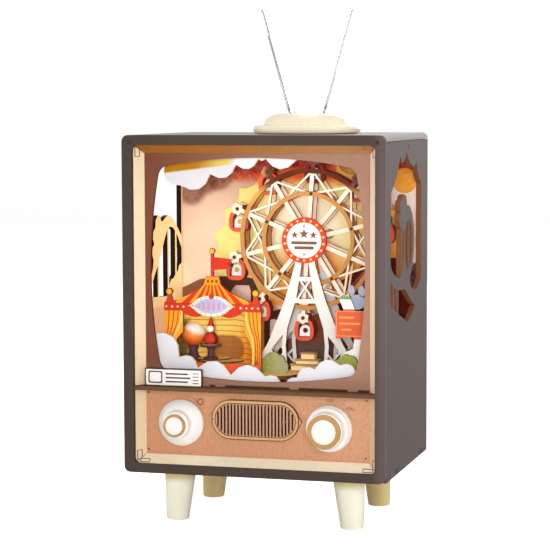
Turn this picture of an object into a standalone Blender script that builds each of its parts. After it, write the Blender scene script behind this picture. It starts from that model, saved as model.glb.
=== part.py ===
"""Wooden music box shaped like an old television set.

A plywood case on four feet holds a small fairground: a Ferris wheel with ten gondolas, a circus
tent and cloud plates. A spring movement behind the scene turns the wheel through wooden gears.
Two knobs and a speaker grille fill the control panel, and two telescopic antennas stand on top.

Sizes are in millimetres. A place is given as x (to the right), depth (back from the front face
of the case) and height (up from the case's underside), and is turned into metres when built.
"""

import math

import bmesh
import bpy
from mathutils import Matrix, Vector
from mathutils.geometry import delaunay_2d_cdt

MM = 0.001
TURN = 2 * math.pi

# Case
CASE_WIDTH = 150.0
CASE_DEPTH = 114.0
CASE_HEIGHT = 189.0
LEG_HEIGHT = 30.0
PLY = 3.0
TOP_PLY = 3.5
THIN_PLY = 2.0
GAP = 0.3
CORNER_RADIUS = 3.5
FRAME_SIDE = 5.8
FRAME_TOP = 5.5
FRAME_BOTTOM = 5.0
OPENING_RADIUS = 3.0
PIN_HOLE_RADIUS = 0.9
PIN_HOLE_INSET = 4.4
BOTTOM_NOTCH = 2.0
TAB_LENGTH = 8.0
TAB_INSETS = (30.6, 17.0)
SIDE_SLOT_DEPTH = 59.0
SIDE_SLOT_SIZE = (2.0, 3.0)

# Windows in the side panels: places are shares of the case's depth and height
RIGHT_WINDOW_SILL = (
    (0.1158, 0.6296), (0.1368, 0.6116), (0.1912, 0.5958), (0.2544, 0.5852), (0.3158, 0.5788),
    (0.3596, 0.581), (0.3596, 0.7206), (0.3211, 0.7323), (0.3105, 0.7481), (0.3158, 0.7651),
    (0.3351, 0.7735), (0.3211, 0.7894), (0.3368, 0.8042), (0.3719, 0.8074), (0.3825, 0.8159),
    (0.4263, 0.8222), (0.4702, 0.8148), (0.486, 0.8032), (0.4807, 0.7862), (0.5246, 0.7873),
    (0.5693, 0.7788), (0.6123, 0.7598), (0.6439, 0.7365), (0.6614, 0.709), (0.6649, 0.6772),
    (0.6561, 0.6429), (0.6351, 0.6138), (0.6018, 0.5894), (0.5667, 0.5709), (0.5737, 0.5524),
    (0.6, 0.5376), (0.6386, 0.528), (0.6842, 0.5249), (0.7368, 0.528), (0.7895, 0.5386),
    (0.8333, 0.5556),
)
RIGHT_WINDOW_SPANS = (
    (
        (0.4561, 0.6265), (0.4912, 0.6021), (0.5123, 0.5958), (0.5263, 0.5979), (0.5263, 0.7481),
        (0.486, 0.7365), (0.4579, 0.7143), (0.4439, 0.6878), (0.4439, 0.6561),
    ),
    (
        (0.5456, 0.6021), (0.5825, 0.6159), (0.6079, 0.6349), (0.6193, 0.6603), (0.6175, 0.6905),
        (0.6, 0.7185), (0.5684, 0.7386), (0.5456, 0.7455),
    ),
    (
        (0.3789, 0.5958), (0.4, 0.5947), (0.4105, 0.6243), (0.4158, 0.6667), (0.4228, 0.6984),
        (0.407, 0.7175), (0.3789, 0.7153),
    ),
    (
        (0.1167, 0.5799), (0.1167, 0.509), (0.1447, 0.5016), (0.1719, 0.4974), (0.1719, 0.5608),
        (0.1491, 0.5672),
    ),
    (
        (0.1912, 0.5566), (0.1912, 0.4942), (0.2456, 0.4831), (0.2737, 0.4767), (0.2737, 0.545),
        (0.2333, 0.5492),
    ),
    (
        (0.293, 0.5434), (0.293, 0.473), (0.386, 0.4577), (0.4307, 0.4497), (0.4825, 0.4413),
        (0.5325, 0.436), (0.5904, 0.4508), (0.636, 0.4614), (0.6851, 0.4783), (0.6228, 0.4899),
        (0.5596, 0.5074), (0.5044, 0.5228), (0.4579, 0.537), (0.4035, 0.5407),
    ),
)
LEFT_WINDOW_SILL = (
    (0.1158, 0.6296), (0.1368, 0.6116), (0.1912, 0.5905), (0.2544, 0.5714), (0.3158, 0.5577),
    (0.3509, 0.5672), (0.3754, 0.5894), (0.386, 0.6138), (0.3667, 0.6307), (0.3719, 0.6519),
    (0.3982, 0.6624), (0.3789, 0.6794), (0.3842, 0.7005), (0.4175, 0.7132), (0.4228, 0.7344),
    (0.4544, 0.7492), (0.4912, 0.745), (0.5088, 0.728), (0.5404, 0.7291), (0.5789, 0.7397),
    (0.6193, 0.7439), (0.6667, 0.7376), (0.7193, 0.7217), (0.7807, 0.6958), (0.8333, 0.6709),
)
LEFT_WINDOW_SPANS = (
    (
        (0.3439, 0.5016), (0.4474, 0.4974), (0.4474, 0.5937), (0.4342, 0.5862), (0.3982, 0.5661),
        (0.3632, 0.5418), (0.3439, 0.5206),
    ),
    (
        (0.4737, 0.4958), (0.6053, 0.4921), (0.6053, 0.6989), (0.5728, 0.6815), (0.5307, 0.6508),
        (0.4912, 0.6212), (0.4737, 0.6106),
    ),
    (
        (0.6281, 0.5259), (0.6579, 0.5407), (0.693, 0.5418), (0.7281, 0.5524), (0.7281, 0.6931),
        (0.693, 0.7032), (0.6544, 0.7079), (0.6281, 0.7053),
    ),
    (
        (0.7509, 0.5598), (0.7754, 0.564), (0.7912, 0.5788), (0.8333, 0.5852), (0.8333, 0.6333),
        (0.7921, 0.6614), (0.7509, 0.6841),
    ),
)
SIDE_WINDOW_CROWN = (
    ((0.8333, 0.8466), (0.7544, 0.8624), (0.7193, 0.9127)),
    ((0.7193, 0.9127), (0.6491, 0.8889), (0.5965, 0.9074)),
    ((0.5965, 0.9074), (0.5263, 0.9153), (0.4737, 0.9497)),
    ((0.4737, 0.9497), (0.4386, 0.9206), (0.3947, 0.9153)),
    ((0.3947, 0.9153), (0.3509, 0.918), (0.3246, 0.9365)),
    ((0.3246, 0.9365), (0.2982, 0.8889), (0.1155, 0.8307)),
)

# Bezel mouldings, shelf, mask and control panel
BEZEL_INSET = 4.6
BEZEL_DEPTH = 5.6
BEZEL_LIP = 1.6
MITRE_GAP = 0.3
SHELF_HEIGHT = 46.5
SHELF_FRONT = 1.0
MASK_SIDE = 10.0
MASK_ABOVE = 8.8
MASK_BELOW = 3.7
MASK_WINDOW_BULGE = 4.6
MASK_WINDOW_CORNER = 9.5

# Knobs and speaker grille
LIGHT_KNOB_INSET = 27.9
MUSIC_KNOB_INSET = 29.9
KNOB_HEIGHT = 28.0
LIGHT_SKIRT_RADIUS = 13.3
MUSIC_SKIRT_RADIUS = 13.2
LIGHT_NECK_RADIUS = 7.6
MUSIC_NECK_RADIUS = 10.0
LIGHT_CAP_RADIUS = 6.3
MUSIC_CAP_RADIUS = 9.4
LIGHT_KNOB_REACH = 5.5
MUSIC_KNOB_REACH = 5.4
CAP_THICKNESS = 2.4
KNOB_SHAFT_RADIUS = 2.0
KNOB_SHAFT_LENGTH = 5.0
SWITCH_RADIUS = 7.0
SWITCH_LENGTH = 8.0
GRILLE_HEIGHT = 31.0
GRILLE_HALF_HEIGHT = 11.1
GRILLE_KNOB_GAPS = (3.6, 2.3)
GRILLE_EAR_REACH = 1.4
GRILLE_THICKNESS = 2.0
GRILLE_RIM = (2.5, 2.3)
GRILLE_SLOT_WIDTH = 0.95
GRILLE_SLOT_PITCH = 1.95
GRILLE_SLOT_MARGIN = 0.3

# Feet
FOOT_SIDE_INSET = 25.8
FOOT_END_INSET = 23.0
FOOT_NAMES = ("foot_front_left", "foot_front_right", "foot_rear_left", "foot_rear_right")
FOOT_TOP_RADIUS = 9.25
FOOT_BOTTOM_RADIUS = 6.4
FOOT_EDGE = 1.0
FOOT_SPLAY = 2.0
FOOT_SPIGOT_RADIUS = 3.0
FOOT_SPIGOT_LENGTH = 2.4

# Antennas
ANTENNA_BASE_INSET = 58.5
ANTENNA_DISC_RADIUS = 30.6
ANTENNA_DISC_HEIGHT = 4.6
ANTENNA_DISC_EDGE = 2.0
ANTENNA_DOME_RADIUS = 24.8
ANTENNA_DOME_HEIGHT = 6.6
ANTENNA_DOME_FLAT = 16.0
ANTENNA_SPACING = 15.2
ANTENNA_LEAN = (-15.7, 16.2)
ANTENNA_TUBE_RADIUS = 2.1
ANTENNA_BORE_RADIUS = 1.7
ANTENNA_ROD_RADIUS = 1.4
ANTENNA_TUBE_LENGTHS = (49.3, 27.8)
ANTENNA_TOTAL_LENGTH = 65.0
ANTENNA_OVERLAP = 8.0
ANTENNA_TIP_RADIUS = 1.8
ANTENNA_TIP_LENGTH = 1.8
PIVOT_BELOW_TOP = 3.0
PIVOT_PIN_RADIUS = 0.8
PIVOT_PIN_REACH = 1.4
SLOT_OUTWARD = 6.4
SLOT_INWARD = 2.8
SLOT_FLOOR = 3.0

# Depths of the layers of the scene
CLOUD_DEPTH = 13.5
TENT_DEPTH = 20.0
BANNER_DEPTH = 24.0
HUB_SIGN_DEPTH = 34.8
TOWER_FRONT_DEPTH = 37.1
WHEEL_FRONT_DEPTH = 43.5
WHEEL_REAR_DEPTH = 53.5
TOWER_REAR_DEPTH = 58.5
SKY_INSET = 17.0
GEAR_INSET = 11.5

# Sun behind the wheel: its place and radius are shares of the scene's half width and height
SUN_PLACE = (0.1185, 0.4633)
SUN_SHARE = 0.8647
SUN_HOLLOW_SHARE = 0.137
SUN_POINTS = 24

# Ferris wheel
WHEEL_SIDE_GAP = 0.55
WHEEL_TOP_GAP = 7.0
WHEEL_RIM = (37.7, 40.2)
WHEEL_INNER_RING = (24.8, 27.1)
WHEEL_HUB_RADIUS = 6.0
WHEEL_PLATE = 2.0
GONDOLAS = 10
GONDOLA_PIVOT_RADIUS = 44.9
WHEEL_PHASE = math.radians(86.1)
SPOKE_WIDTH = 2.3
BRACE_WIDTH = 1.1
LUG_RADII = (3.7, 2.9)
LUG_LOBES = 6
PIVOT_RADIUS = 0.9
RUNNING_GAP = 0.3
CROSS_POSTS = 5
CROSS_POST_RADIUS = 1.3
AXLE_RADIUS = 2.5
HUB_SIGN_RADIUS = 12.9
GONDOLA_WIDTH = 11.5
GONDOLA_DROP = 13.3
GONDOLA_SIDE_GAP = 0.4
GONDOLA_WALL = 2.2
GONDOLA_SPRING = 6.0

# Towers of the wheel: places are (half width, share of the height up to the axle)
TOWER_OUTER = ((6.0, 0.821), (11.6, 0.591), (15.1, 0.477), (21.8, 0.276), (27.2, 0.164), (35.0, 0.0))
TOWER_INNER = ((2.2, 0.821), (5.2, 0.591), (11.0, 0.364), (17.2, 0.272), (22.8, 0.169), (31.2, 0.0))
TOWER_STRUT = ((11.6, 0.383), (12.6, 0.26), (11.9, 0.137), (9.6, 0.0))
TOWER_STRUT_WIDTH = 2.2
TOWER_BARS = (0.728, 0.573)
TOWER_CROSS = ((12.2, 0.211, 20.5, 0.1), (11.8, 0.1, 21.5, 0.236))
TOWER_BAR_WIDTH = 2.4
TOWER_BOSS_RADIUS = 7.0

# Clouds and slide: places are shares of the scene's half width and height
CLOUD_TOP = (
    (-0.76, 0.905),
    (-0.6276, 0.8204),
    (-0.3905, 0.8688),
    (-0.1799, 0.9076),
    (0.0014, 0.9318),
    (0.0572, 0.9326),
    (0.3026, 0.926),
)
CLOUD_LEFT = (
    (0.1785, 0.0),
    (0.0446, 0.0455),
    (-0.2301, 0.044),
    (-0.5021, 0.0696),
    (-0.6555, 0.1122),
    (-0.8563, 0.2089),
)
CLOUD_RIGHT = (
    (0.8368, 0.0),
    (0.7767, 0.065),
    (0.6471, 0.1004),
    (0.4505, 0.0799),
    (0.3054, 0.0433),
    (0.219, 0.0),
)
CLOUD_TOP_ENDS = (-0.76, 0.3026)
CLOUD_LEFT_END = (-0.8926, 0.22)
BANNER = (
    (0.5718, 0.3138),
    (0.5802, 0.1994),
    (0.8173, 0.2141),
    (0.8368, 0.3065),
)
SLIDE = (
    (0.6416, 0.3754),
    (0.6764, 0.3314),
    (0.7252, 0.2581),
    (0.7671, 0.1994),
    (0.7531, 0.1481),
    (0.6764, 0.1261),
    (0.6137, 0.0968),
    (0.5997, 0.0),
)
SLIDE_WIDTH = 6.0
SLIDE_POST = (0.725, 0.767, 0.17)
SLIDE_FOOT = (0.53, 0.837, 0.022)

# Circus tent: heights are shares of the scene's height, its place and half width of the
# scene's half width, and the widths of its parts of its own half width
TENT_PLACE = -0.4045
TENT_HALF_SHARE = 0.3961
TENT_FLOOR_SHARE = 0.0821
TENT_WALL_TOP_SHARE = 0.2947
TENT_VALANCE_SHARE = 0.3021
TENT_SIGN_SHARE = 0.3233
TENT_EAVES_SHARE = 0.3314
TENT_FINIAL_SHARE = 0.3864
TENT_CAP_SHARES = ((0.18, 0.4098), (0.137, 0.4443))
TENT_POLE_SHARE = 0.5616
TENT_FLAG_SHARES = (0.4155, 0.4707, 0.5249)
TENT_CURTAIN_SHARES = (0.3873, 0.3239)
TENT_SIGN_SHARES = (0.4894, 0.0433)
TENT_WALL_SHARE = 0.8803
TENT_POLE_WIDTH = 1.6
TENT_FINIAL_INSET = 3.0
TENT_FLOOR_PLATE = 3.0
TENT_WALL_REACH = 17.0
TENT_SKIRT_DROP = 5.5

# Wooden gear train
WHEEL_GEAR_TEETH = 26
IDLER_TEETH = 36
DRIVE_TEETH = 10
GEAR_THICKNESS = 3.0
GEAR_BACKLASH = 0.45
ADDENDUM = 0.85
DEDENDUM = 1.15
PRESSURE_ANGLE = math.radians(20)
IDLER_PIN_RADIUS = 2.0
GEAR_WINDOWS = 6
GEAR_HUB_RADIUS = 7.0

# Spring movement, standing on the floor of the case
MOVEMENT_OFFSET = 28.5
MOVEMENT_HEIGHT = 26.0
BEDPLATE = (-14.0, 39.0, -22.7, 20.0)
BEDPLATE_THICKNESS = 2.0
BARREL_RADIUS = 11.5
BARREL_LENGTH = 14.0
CROWN_RADII = (8.0, 11.0)
CROWN_HEIGHT = 1.6
CROWN_TEETH = 24
CROWN_NOTCH_SHARE = 0.68
DRUM_PINION_TEETH = 9
DRUM_PINION_WIDTH = 1.6
ARBOR_RADIUS = 1.2
DRUM_RADIUS = 6.5
DRUM_START = 15.0
DRUM_LENGTH = 17.0
DRUM_PIN_ROWS = 9
DRUM_PIN_SIZE = 0.5
BEARING_START = 12.4
BEARING_WIDTH = 1.8
BEARING_HALF_HEIGHT = 4.0
GOVERNOR = (33.0, 39.0, -12.0, 12.0)
COMB_TEETH = 18
COMB_THICKNESS = 1.2
COMB_HEIGHT = 12.0
COMB_BAR = 4.0
COMB_TIP_GAP = 0.9
KEY_REACH = 14.0
KEY_SHAFT_RADIUS = 2.2
KEY_WING = (11.0, 9.0)
KEY_THICKNESS = 2.2
KEY_HOLE_RADIUS = 4.0
SLEEVE_RADIUS = 3.7
SLEEVE_BORE_DEPTH = 8.0
STOP_ROD_RADIUS = 1.6
STOP_SLEEVE_RADIUS = 4.0
STOP_SLEEVE_LENGTH = 8.0
STOP_ARM = (15.0, 3.4, 2.0)
BATTERY_BOX_SIZE = (27.0, 52.0, 14.0)
BATTERY_BOX_INSET = 8.7
BATTERY_BOX_BEHIND = 12.0

# Colours (red, green, blue), roughness and metallic value
FINISHES = {
    "grey_ply": ((0.105, 0.083, 0.083), 0.62, 0.0),
    "light_wood": ((0.78, 0.55, 0.33), 0.55, 0.0),
    "brown_ply": ((0.33, 0.17, 0.12), 0.6, 0.0),
    "mask_ply": ((0.33, 0.17, 0.13), 0.6, 0.0),
    "copper_panel": ((0.69, 0.37, 0.23), 0.5, 0.0),
    "ivory": ((0.86, 0.78, 0.60), 0.35, 0.0),
    "pearl_white": ((0.88, 0.85, 0.80), 0.3, 0.0),
    "chrome": ((0.75, 0.75, 0.76), 0.15, 1.0),
    "white_ply": ((0.86, 0.84, 0.80), 0.55, 0.0),
    "wheel_wood": ((0.50, 0.29, 0.12), 0.55, 0.0),
    "gondola_red": ((0.72, 0.13, 0.08), 0.5, 0.0),
    "tent_orange": ((0.90, 0.33, 0.04), 0.55, 0.0),
    "sun_yellow": ((0.93, 0.75, 0.20), 0.55, 0.0),
    "sky_peach": ((0.90, 0.60, 0.42), 0.6, 0.0),
    "cloud_white": ((0.88, 0.87, 0.90), 0.6, 0.0),
    "gear_wood": ((0.66, 0.47, 0.28), 0.6, 0.0),
    "steel": ((0.55, 0.55, 0.56), 0.3, 1.0),
    "brass": ((0.72, 0.53, 0.22), 0.28, 1.0),
    "black_plastic": ((0.03, 0.03, 0.03), 0.5, 0.0),
}

# Sizes that follow from the ones above
FRONT_Y = -(CASE_DEPTH + KEY_REACH - LIGHT_KNOB_REACH) / 2
HALF_WIDTH = CASE_WIDTH / 2
INNER_HALF = HALF_WIDTH - PLY - GAP
TOP_UNDERSIDE = CASE_HEIGHT - TOP_PLY
INNER_TOP = TOP_UNDERSIDE - GAP
OPENING_HALF = HALF_WIDTH - FRAME_SIDE
OPENING_TOP = CASE_HEIGHT - FRAME_TOP
BEHIND_FRAME = PLY + GAP
PANEL_FRONT = BEHIND_FRAME + BEZEL_DEPTH
PANEL_BACK = PANEL_FRONT + THIN_PLY
SHELF_TOP = SHELF_HEIGHT + THIN_PLY
FLOOR_LINE = SHELF_TOP + GAP
SKY_DEPTH = CASE_DEPTH - SKY_INSET
BATTERY_BOX_DEPTH = CASE_DEPTH - BATTERY_BOX_BEHIND - BATTERY_BOX_SIZE[1]
GEAR_DEPTH = CASE_DEPTH - GEAR_INSET
TAB_DEPTHS = (TAB_INSETS[0], CASE_DEPTH - TAB_INSETS[1])
SHELF_BACK = SKY_DEPTH + THIN_PLY
MASK_WINDOW_TOP = INNER_TOP - MASK_ABOVE
MASK_WINDOW_BOTTOM = SHELF_TOP + MASK_BELOW
MASK_WINDOW_HALF = (INNER_HALF - MASK_SIDE, (MASK_WINDOW_TOP - MASK_WINDOW_BOTTOM) / 2)
MASK_WINDOW_HEIGHT = (MASK_WINDOW_TOP + MASK_WINDOW_BOTTOM) / 2
SUN_DEPTH = SKY_DEPTH - GAP - THIN_PLY
BACK_FRONT = CASE_DEPTH - PLY
AXLE_HOLE = AXLE_RADIUS + RUNNING_GAP
IDLER_HOLE = IDLER_PIN_RADIUS + RUNNING_GAP
AXLE_END = CASE_DEPTH - 0.5
ANTENNA_BASE_X = HALF_WIDTH - ANTENNA_BASE_INSET
ANTENNA_BASE_DEPTH = CASE_DEPTH / 2
FOOT_X = HALF_WIDTH - FOOT_SIDE_INSET
FOOT_REAR = CASE_DEPTH - FOOT_END_INSET
FOOT_PLACES = (
    (-FOOT_X, FOOT_END_INSET),
    (FOOT_X, FOOT_END_INSET),
    (-FOOT_X, FOOT_REAR),
    (FOOT_X, FOOT_REAR),
)
LIGHT_KNOB = (LIGHT_KNOB_INSET - INNER_HALF, KNOB_HEIGHT)
MUSIC_KNOB = (INNER_HALF - MUSIC_KNOB_INSET, KNOB_HEIGHT)
GRILLE_LEFT = LIGHT_KNOB[0] + LIGHT_SKIRT_RADIUS + GRILLE_KNOB_GAPS[0]
GRILLE_RIGHT = MUSIC_KNOB[0] - MUSIC_SKIRT_RADIUS - GRILLE_KNOB_GAPS[1]
GRILLE_EAR = (GRILLE_RIGHT - GRILLE_LEFT) / 2
GRILLE_CENTRE = ((GRILLE_LEFT + GRILLE_RIGHT) / 2, GRILLE_HEIGHT)
GRILLE_HALF = (GRILLE_EAR - GRILLE_EAR_REACH, GRILLE_HALF_HEIGHT)
GRILLE_BAR_FIELD = (GRILLE_HALF[0] - GRILLE_RIM[0], GRILLE_HALF[1] - GRILLE_RIM[1])
GRILLE_SLOT_ROW = 2 * (GRILLE_BAR_FIELD[0] - GRILLE_SLOT_MARGIN) - GRILLE_SLOT_WIDTH
GRILLE_SLOTS = int(GRILLE_SLOT_ROW / GRILLE_SLOT_PITCH) + 1
SCENE_HEIGHT = INNER_TOP - FLOOR_LINE
WHEEL_X = INNER_HALF - WHEEL_SIDE_GAP - GONDOLA_PIVOT_RADIUS - GONDOLA_WIDTH / 2
WHEEL_HEIGHT = INNER_TOP - WHEEL_TOP_GAP - GONDOLA_PIVOT_RADIUS - LUG_RADII[0]
TOWER_HEIGHT = WHEEL_HEIGHT - FLOOR_LINE
TENT_X = TENT_PLACE * INNER_HALF
TENT_HALF_WIDTH = TENT_HALF_SHARE * INNER_HALF
TENT_FLOOR = FLOOR_LINE + TENT_FLOOR_SHARE * SCENE_HEIGHT
TENT_VALANCE = FLOOR_LINE + TENT_VALANCE_SHARE * SCENE_HEIGHT
TENT_EAVES = FLOOR_LINE + TENT_EAVES_SHARE * SCENE_HEIGHT
TENT_SIGN_HEIGHT = FLOOR_LINE + TENT_SIGN_SHARE * SCENE_HEIGHT
TENT_FINIAL_TOP = FLOOR_LINE + TENT_FINIAL_SHARE * SCENE_HEIGHT
TENT_POLE_TOP = FLOOR_LINE + TENT_POLE_SHARE * SCENE_HEIGHT
WHEEL_CENTRE = (WHEEL_X, WHEEL_HEIGHT)
MOVEMENT_X = WHEEL_X - MOVEMENT_OFFSET
MOVEMENT_CENTRE = (MOVEMENT_X, MOVEMENT_HEIGHT)
TRAIN_LENGTH = math.dist(WHEEL_CENTRE, MOVEMENT_CENTRE)
GEAR_MODULE = TRAIN_LENGTH / (WHEEL_GEAR_TEETH / 2 + IDLER_TEETH + DRIVE_TEETH / 2)
TRAIN_ANGLE = math.atan2(MOVEMENT_HEIGHT - WHEEL_HEIGHT, MOVEMENT_X - WHEEL_X)
IDLER_REACH = GEAR_MODULE * (WHEEL_GEAR_TEETH + IDLER_TEETH) / 2
IDLER_CENTRE = (
    WHEEL_X + IDLER_REACH * math.cos(TRAIN_ANGLE),
    WHEEL_HEIGHT + IDLER_REACH * math.sin(TRAIN_ANGLE),
)
BEDPLATE_FRONT = GEAR_DEPTH - 2 * GAP - BEDPLATE_THICKNESS
BARREL_BACK = BEDPLATE_FRONT - GAP
BARREL_FRONT = BARREL_BACK - BARREL_LENGTH
CROWN_PITCH_RADIUS = sum(CROWN_RADII) / 2
CROWN_PITCH_DEPTH = BARREL_FRONT - CROWN_HEIGHT / 2
DRUM_PINION_RADIUS = CROWN_PITCH_RADIUS * DRUM_PINION_TEETH / CROWN_TEETH
DRUM_DEPTH = CROWN_PITCH_DEPTH - DRUM_PINION_RADIUS

# How a flat shape lies: its own x and y run along these directions of the box
FACING_FRONT = (math.pi / 2, 0.0, 0.0)
FACING_SIDE = (math.pi / 2, 0.0, math.pi / 2)
LYING_FLAT = (0.0, 0.0, 0.0)
AXIS_TO_FRONT = (math.pi / 2, 0.0, 0.0)
AXIS_TO_RIGHT = (0.0, math.pi / 2, 0.0)


def at(x, depth, height):
    """World place in metres of a point given by x, depth and height."""
    return Vector((x, FRONT_Y + depth, LEG_HEIGHT + height)) * MM


def clear_scene():
    for old in list(bpy.data.objects):
        bpy.data.objects.remove(old, do_unlink=True)


def new_collection(name):
    group = bpy.data.collections.new(name)
    bpy.context.scene.collection.children.link(group)
    return group


def finish_material(name):
    """A Principled material, made once for each finish."""
    if name in bpy.data.materials:
        return bpy.data.materials[name]
    colour, roughness, metallic = FINISHES[name]
    material = bpy.data.materials.new(name)
    material.use_nodes = True
    shader = material.node_tree.nodes["Principled BSDF"]
    shader.inputs["Base Color"].default_value = (*colour, 1.0)
    shader.inputs["Roughness"].default_value = roughness
    shader.inputs["Metallic"].default_value = metallic
    material.diffuse_color = (*colour, 1.0)
    return material


def add_part(name, data, finish, place, turn=LYING_FLAT):
    """Put mesh or curve data into the scene as a finished piece of the box."""
    part = bpy.data.objects.new(name, data)
    part.location = place
    part.rotation_euler = turn
    data.materials.clear()
    data.materials.append(finish_material(finish))
    parts.objects.link(part)
    return part


def as_tool(part):
    """Turn a piece into a cutter or joining shape, which isn't part of the box."""
    parts.objects.unlink(part)
    tools.objects.link(part)
    part.hide_render = True
    part.display_type = "WIRE"
    return part


def baked(part):
    """Replace a piece by a mesh of its evaluated shape, with its seams welded."""
    bpy.context.view_layer.update()
    seen = part.evaluated_get(bpy.context.evaluated_depsgraph_get())
    mesh = bpy.data.meshes.new_from_object(seen)
    shape = bmesh.new()
    shape.from_mesh(mesh)
    bmesh.ops.remove_doubles(shape, verts=shape.verts, dist=1e-6)
    shape.to_mesh(mesh)
    shape.free()
    name = part.name
    place = part.matrix_world.copy()
    for group in part.users_collection:
        group.objects.unlink(part)
    bpy.data.objects.remove(part)
    solid = bpy.data.objects.new(name, mesh)
    solid.matrix_world = place
    parts.objects.link(solid)
    return solid


def boolean(part, tool, operation):
    change = part.modifiers.new(operation.lower() + "_" + tool.name, "BOOLEAN")
    change.operation = operation
    change.solver = "EXACT"
    change.object = tool
    return part


def joined(part, *others):
    for other in others:
        boolean(part, as_tool(other), "UNION")
    return part


def cut(part, *others):
    for other in others:
        boolean(part, as_tool(other), "DIFFERENCE")
    return part


def smooth(part, angle=35.0):
    """Shade a round piece smooth, with its real edges kept sharp."""
    part.data.shade_smooth()
    part.data.set_sharp_from_angle(angle=math.radians(angle))
    return part


def arc(centre, radius, start, end, steps):
    """Points on an arc, from start to end in radians, both ends included."""
    return [
        (
            centre[0] + radius * math.cos(start + (end - start) * i / steps),
            centre[1] + radius * math.sin(start + (end - start) * i / steps),
        )
        for i in range(steps + 1)
    ]


def circle(centre, radius, steps, phase=0.0):
    return arc(centre, radius, phase, phase + TURN, steps)[:-1]


def box_outline(left, right, low, high):
    return [(left, low), (right, low), (right, high), (left, high)]


def rounded_box(left, right, low, high, radius, steps=4):
    quarter = math.pi / 2
    corners = (
        (right - radius, low + radius, -quarter),
        (right - radius, high - radius, 0.0),
        (left + radius, high - radius, quarter),
        (left + radius, low + radius, 2 * quarter),
    )
    points = []
    for x, y, start in corners:
        points += arc((x, y), radius, start, start + quarter, steps)
    return points


def bend(start, control, end, steps):
    """Points on a quadratic curve after its start, up to its end."""
    points = []
    for i in range(1, steps + 1):
        t = i / steps
        points.append(
            tuple(
                (1 - t) ** 2 * a + 2 * t * (1 - t) * b + t * t * c
                for a, b, c in zip(start, control, end)
            )
        )
    return points


def strip(start, end, width):
    """A straight bar between two points, as an outline."""
    run = Vector(end) - Vector(start)
    side = Vector((-run.y, run.x)).normalized() * width / 2
    corners = (Vector(start) - side, Vector(end) - side, Vector(end) + side, Vector(start) + side)
    return [tuple(corner) for corner in corners]


def ribbon(points, width):
    """A bar of even width that follows a line of points, as an outline."""
    left = []
    right = []
    for i, point in enumerate(points):
        before = Vector(points[max(i - 1, 0)])
        after = Vector(points[min(i + 1, len(points) - 1)])
        run = (after - before).normalized()
        side = Vector((-run.y, run.x)) * width / 2
        left.append(tuple(Vector(point) + side))
        right.append(tuple(Vector(point) - side))
    return left + right[::-1]


def mirrored(outline, x=0.0):
    return [(2 * x - px, py) for px, py in reversed(outline)]


def moved(outline, dx, dy):
    return [(x + dx, y + dy) for x, y in outline]


def area(outline):
    total = 0.0
    for (x0, y0), (x1, y1) in zip(outline, outline[1:] + outline[:1]):
        total += x0 * y1 - x1 * y0
    return total / 2


def plate(name, outlines, thickness, finish, place, turn=FACING_FRONT):
    """A flat plate: the first outline is its edge and the others are its holes."""
    shape = bpy.data.curves.new(name, "CURVE")
    shape.dimensions = "2D"
    shape.fill_mode = "BOTH"
    shape.extrude = thickness * MM / 2
    for outline in outlines:
        line = shape.splines.new("POLY")
        line.points.add(len(outline) - 1)
        for point, (x, y) in zip(line.points, outline):
            point.co = (x * MM, y * MM, 0.0, 1.0)
        line.use_cyclic_u = True
    return add_part(name, shape, finish, place, turn)


def front_plate(name, outlines, depth, thickness, finish):
    return plate(name, outlines, thickness, finish, at(0, depth + thickness / 2, 0))


def side_plate(name, outlines, x, thickness, finish):
    return plate(name, outlines, thickness, finish, at(x, 0, 0), FACING_SIDE)


def floor_plate(name, outlines, height, thickness, finish):
    return plate(name, outlines, thickness, finish, at(0, 0, height + thickness / 2), LYING_FLAT)


def merged_plate(name, pieces, holes, thickness, finish, place):
    """A plate sawn from overlapping outlines: they are merged into one flat region first."""
    points = []
    faces = []
    for outline in pieces + holes:
        if area(outline) < 0:
            outline = outline[::-1]
        faces.append(list(range(len(points), len(points) + len(outline))))
        points += [Vector(point) for point in outline]
    found = delaunay_2d_cdt(points, [], faces, 1, 1e-5, True)
    flat_points, flat_faces, sources = found[0], found[2], found[5]
    shape = bmesh.new()
    corners = [shape.verts.new((p.x * MM, p.y * MM, -thickness * MM / 2)) for p in flat_points]
    for face, origin in zip(flat_faces, sources):
        if origin and max(origin) < len(pieces):
            shape.faces.new([corners[i] for i in face])
    loose = [corner for corner in shape.verts if not corner.link_faces]
    bmesh.ops.delete(shape, geom=loose, context="VERTS")
    bmesh.ops.dissolve_limit(
        shape, angle_limit=math.radians(0.5), verts=shape.verts, edges=shape.edges
    )
    raised = bmesh.ops.extrude_face_region(shape, geom=list(shape.faces), use_keep_orig=True)
    tops = [item for item in raised["geom"] if isinstance(item, bmesh.types.BMVert)]
    bmesh.ops.translate(shape, verts=tops, vec=(0, 0, thickness * MM))
    bmesh.ops.recalc_face_normals(shape, faces=shape.faces)
    mesh = bpy.data.meshes.new(name)
    shape.to_mesh(mesh)
    shape.free()
    return add_part(name, mesh, finish, place, FACING_FRONT)


def turned(name, profile, steps, finish, place, turn=LYING_FLAT):
    """A turned piece: its profile (radius, height) runs down its outer side."""
    mesh = bpy.data.meshes.new(name)
    shape = bmesh.new()
    points = [shape.verts.new((radius * MM, 0.0, height * MM)) for radius, height in profile]
    for first, second in zip(points, points[1:]):
        shape.edges.new((first, second))
    if profile[0][0] > 0:
        shape.edges.new((points[-1], points[0]))
    shape.to_mesh(mesh)
    shape.free()
    part = add_part(name, mesh, finish, place, turn)
    lathe = part.modifiers.new("lathe", "SCREW")
    lathe.steps = steps
    lathe.render_steps = steps
    lathe.use_merge_vertices = True
    lathe.merge_threshold = 1e-6
    lathe.use_smooth_shade = False
    return part


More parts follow.
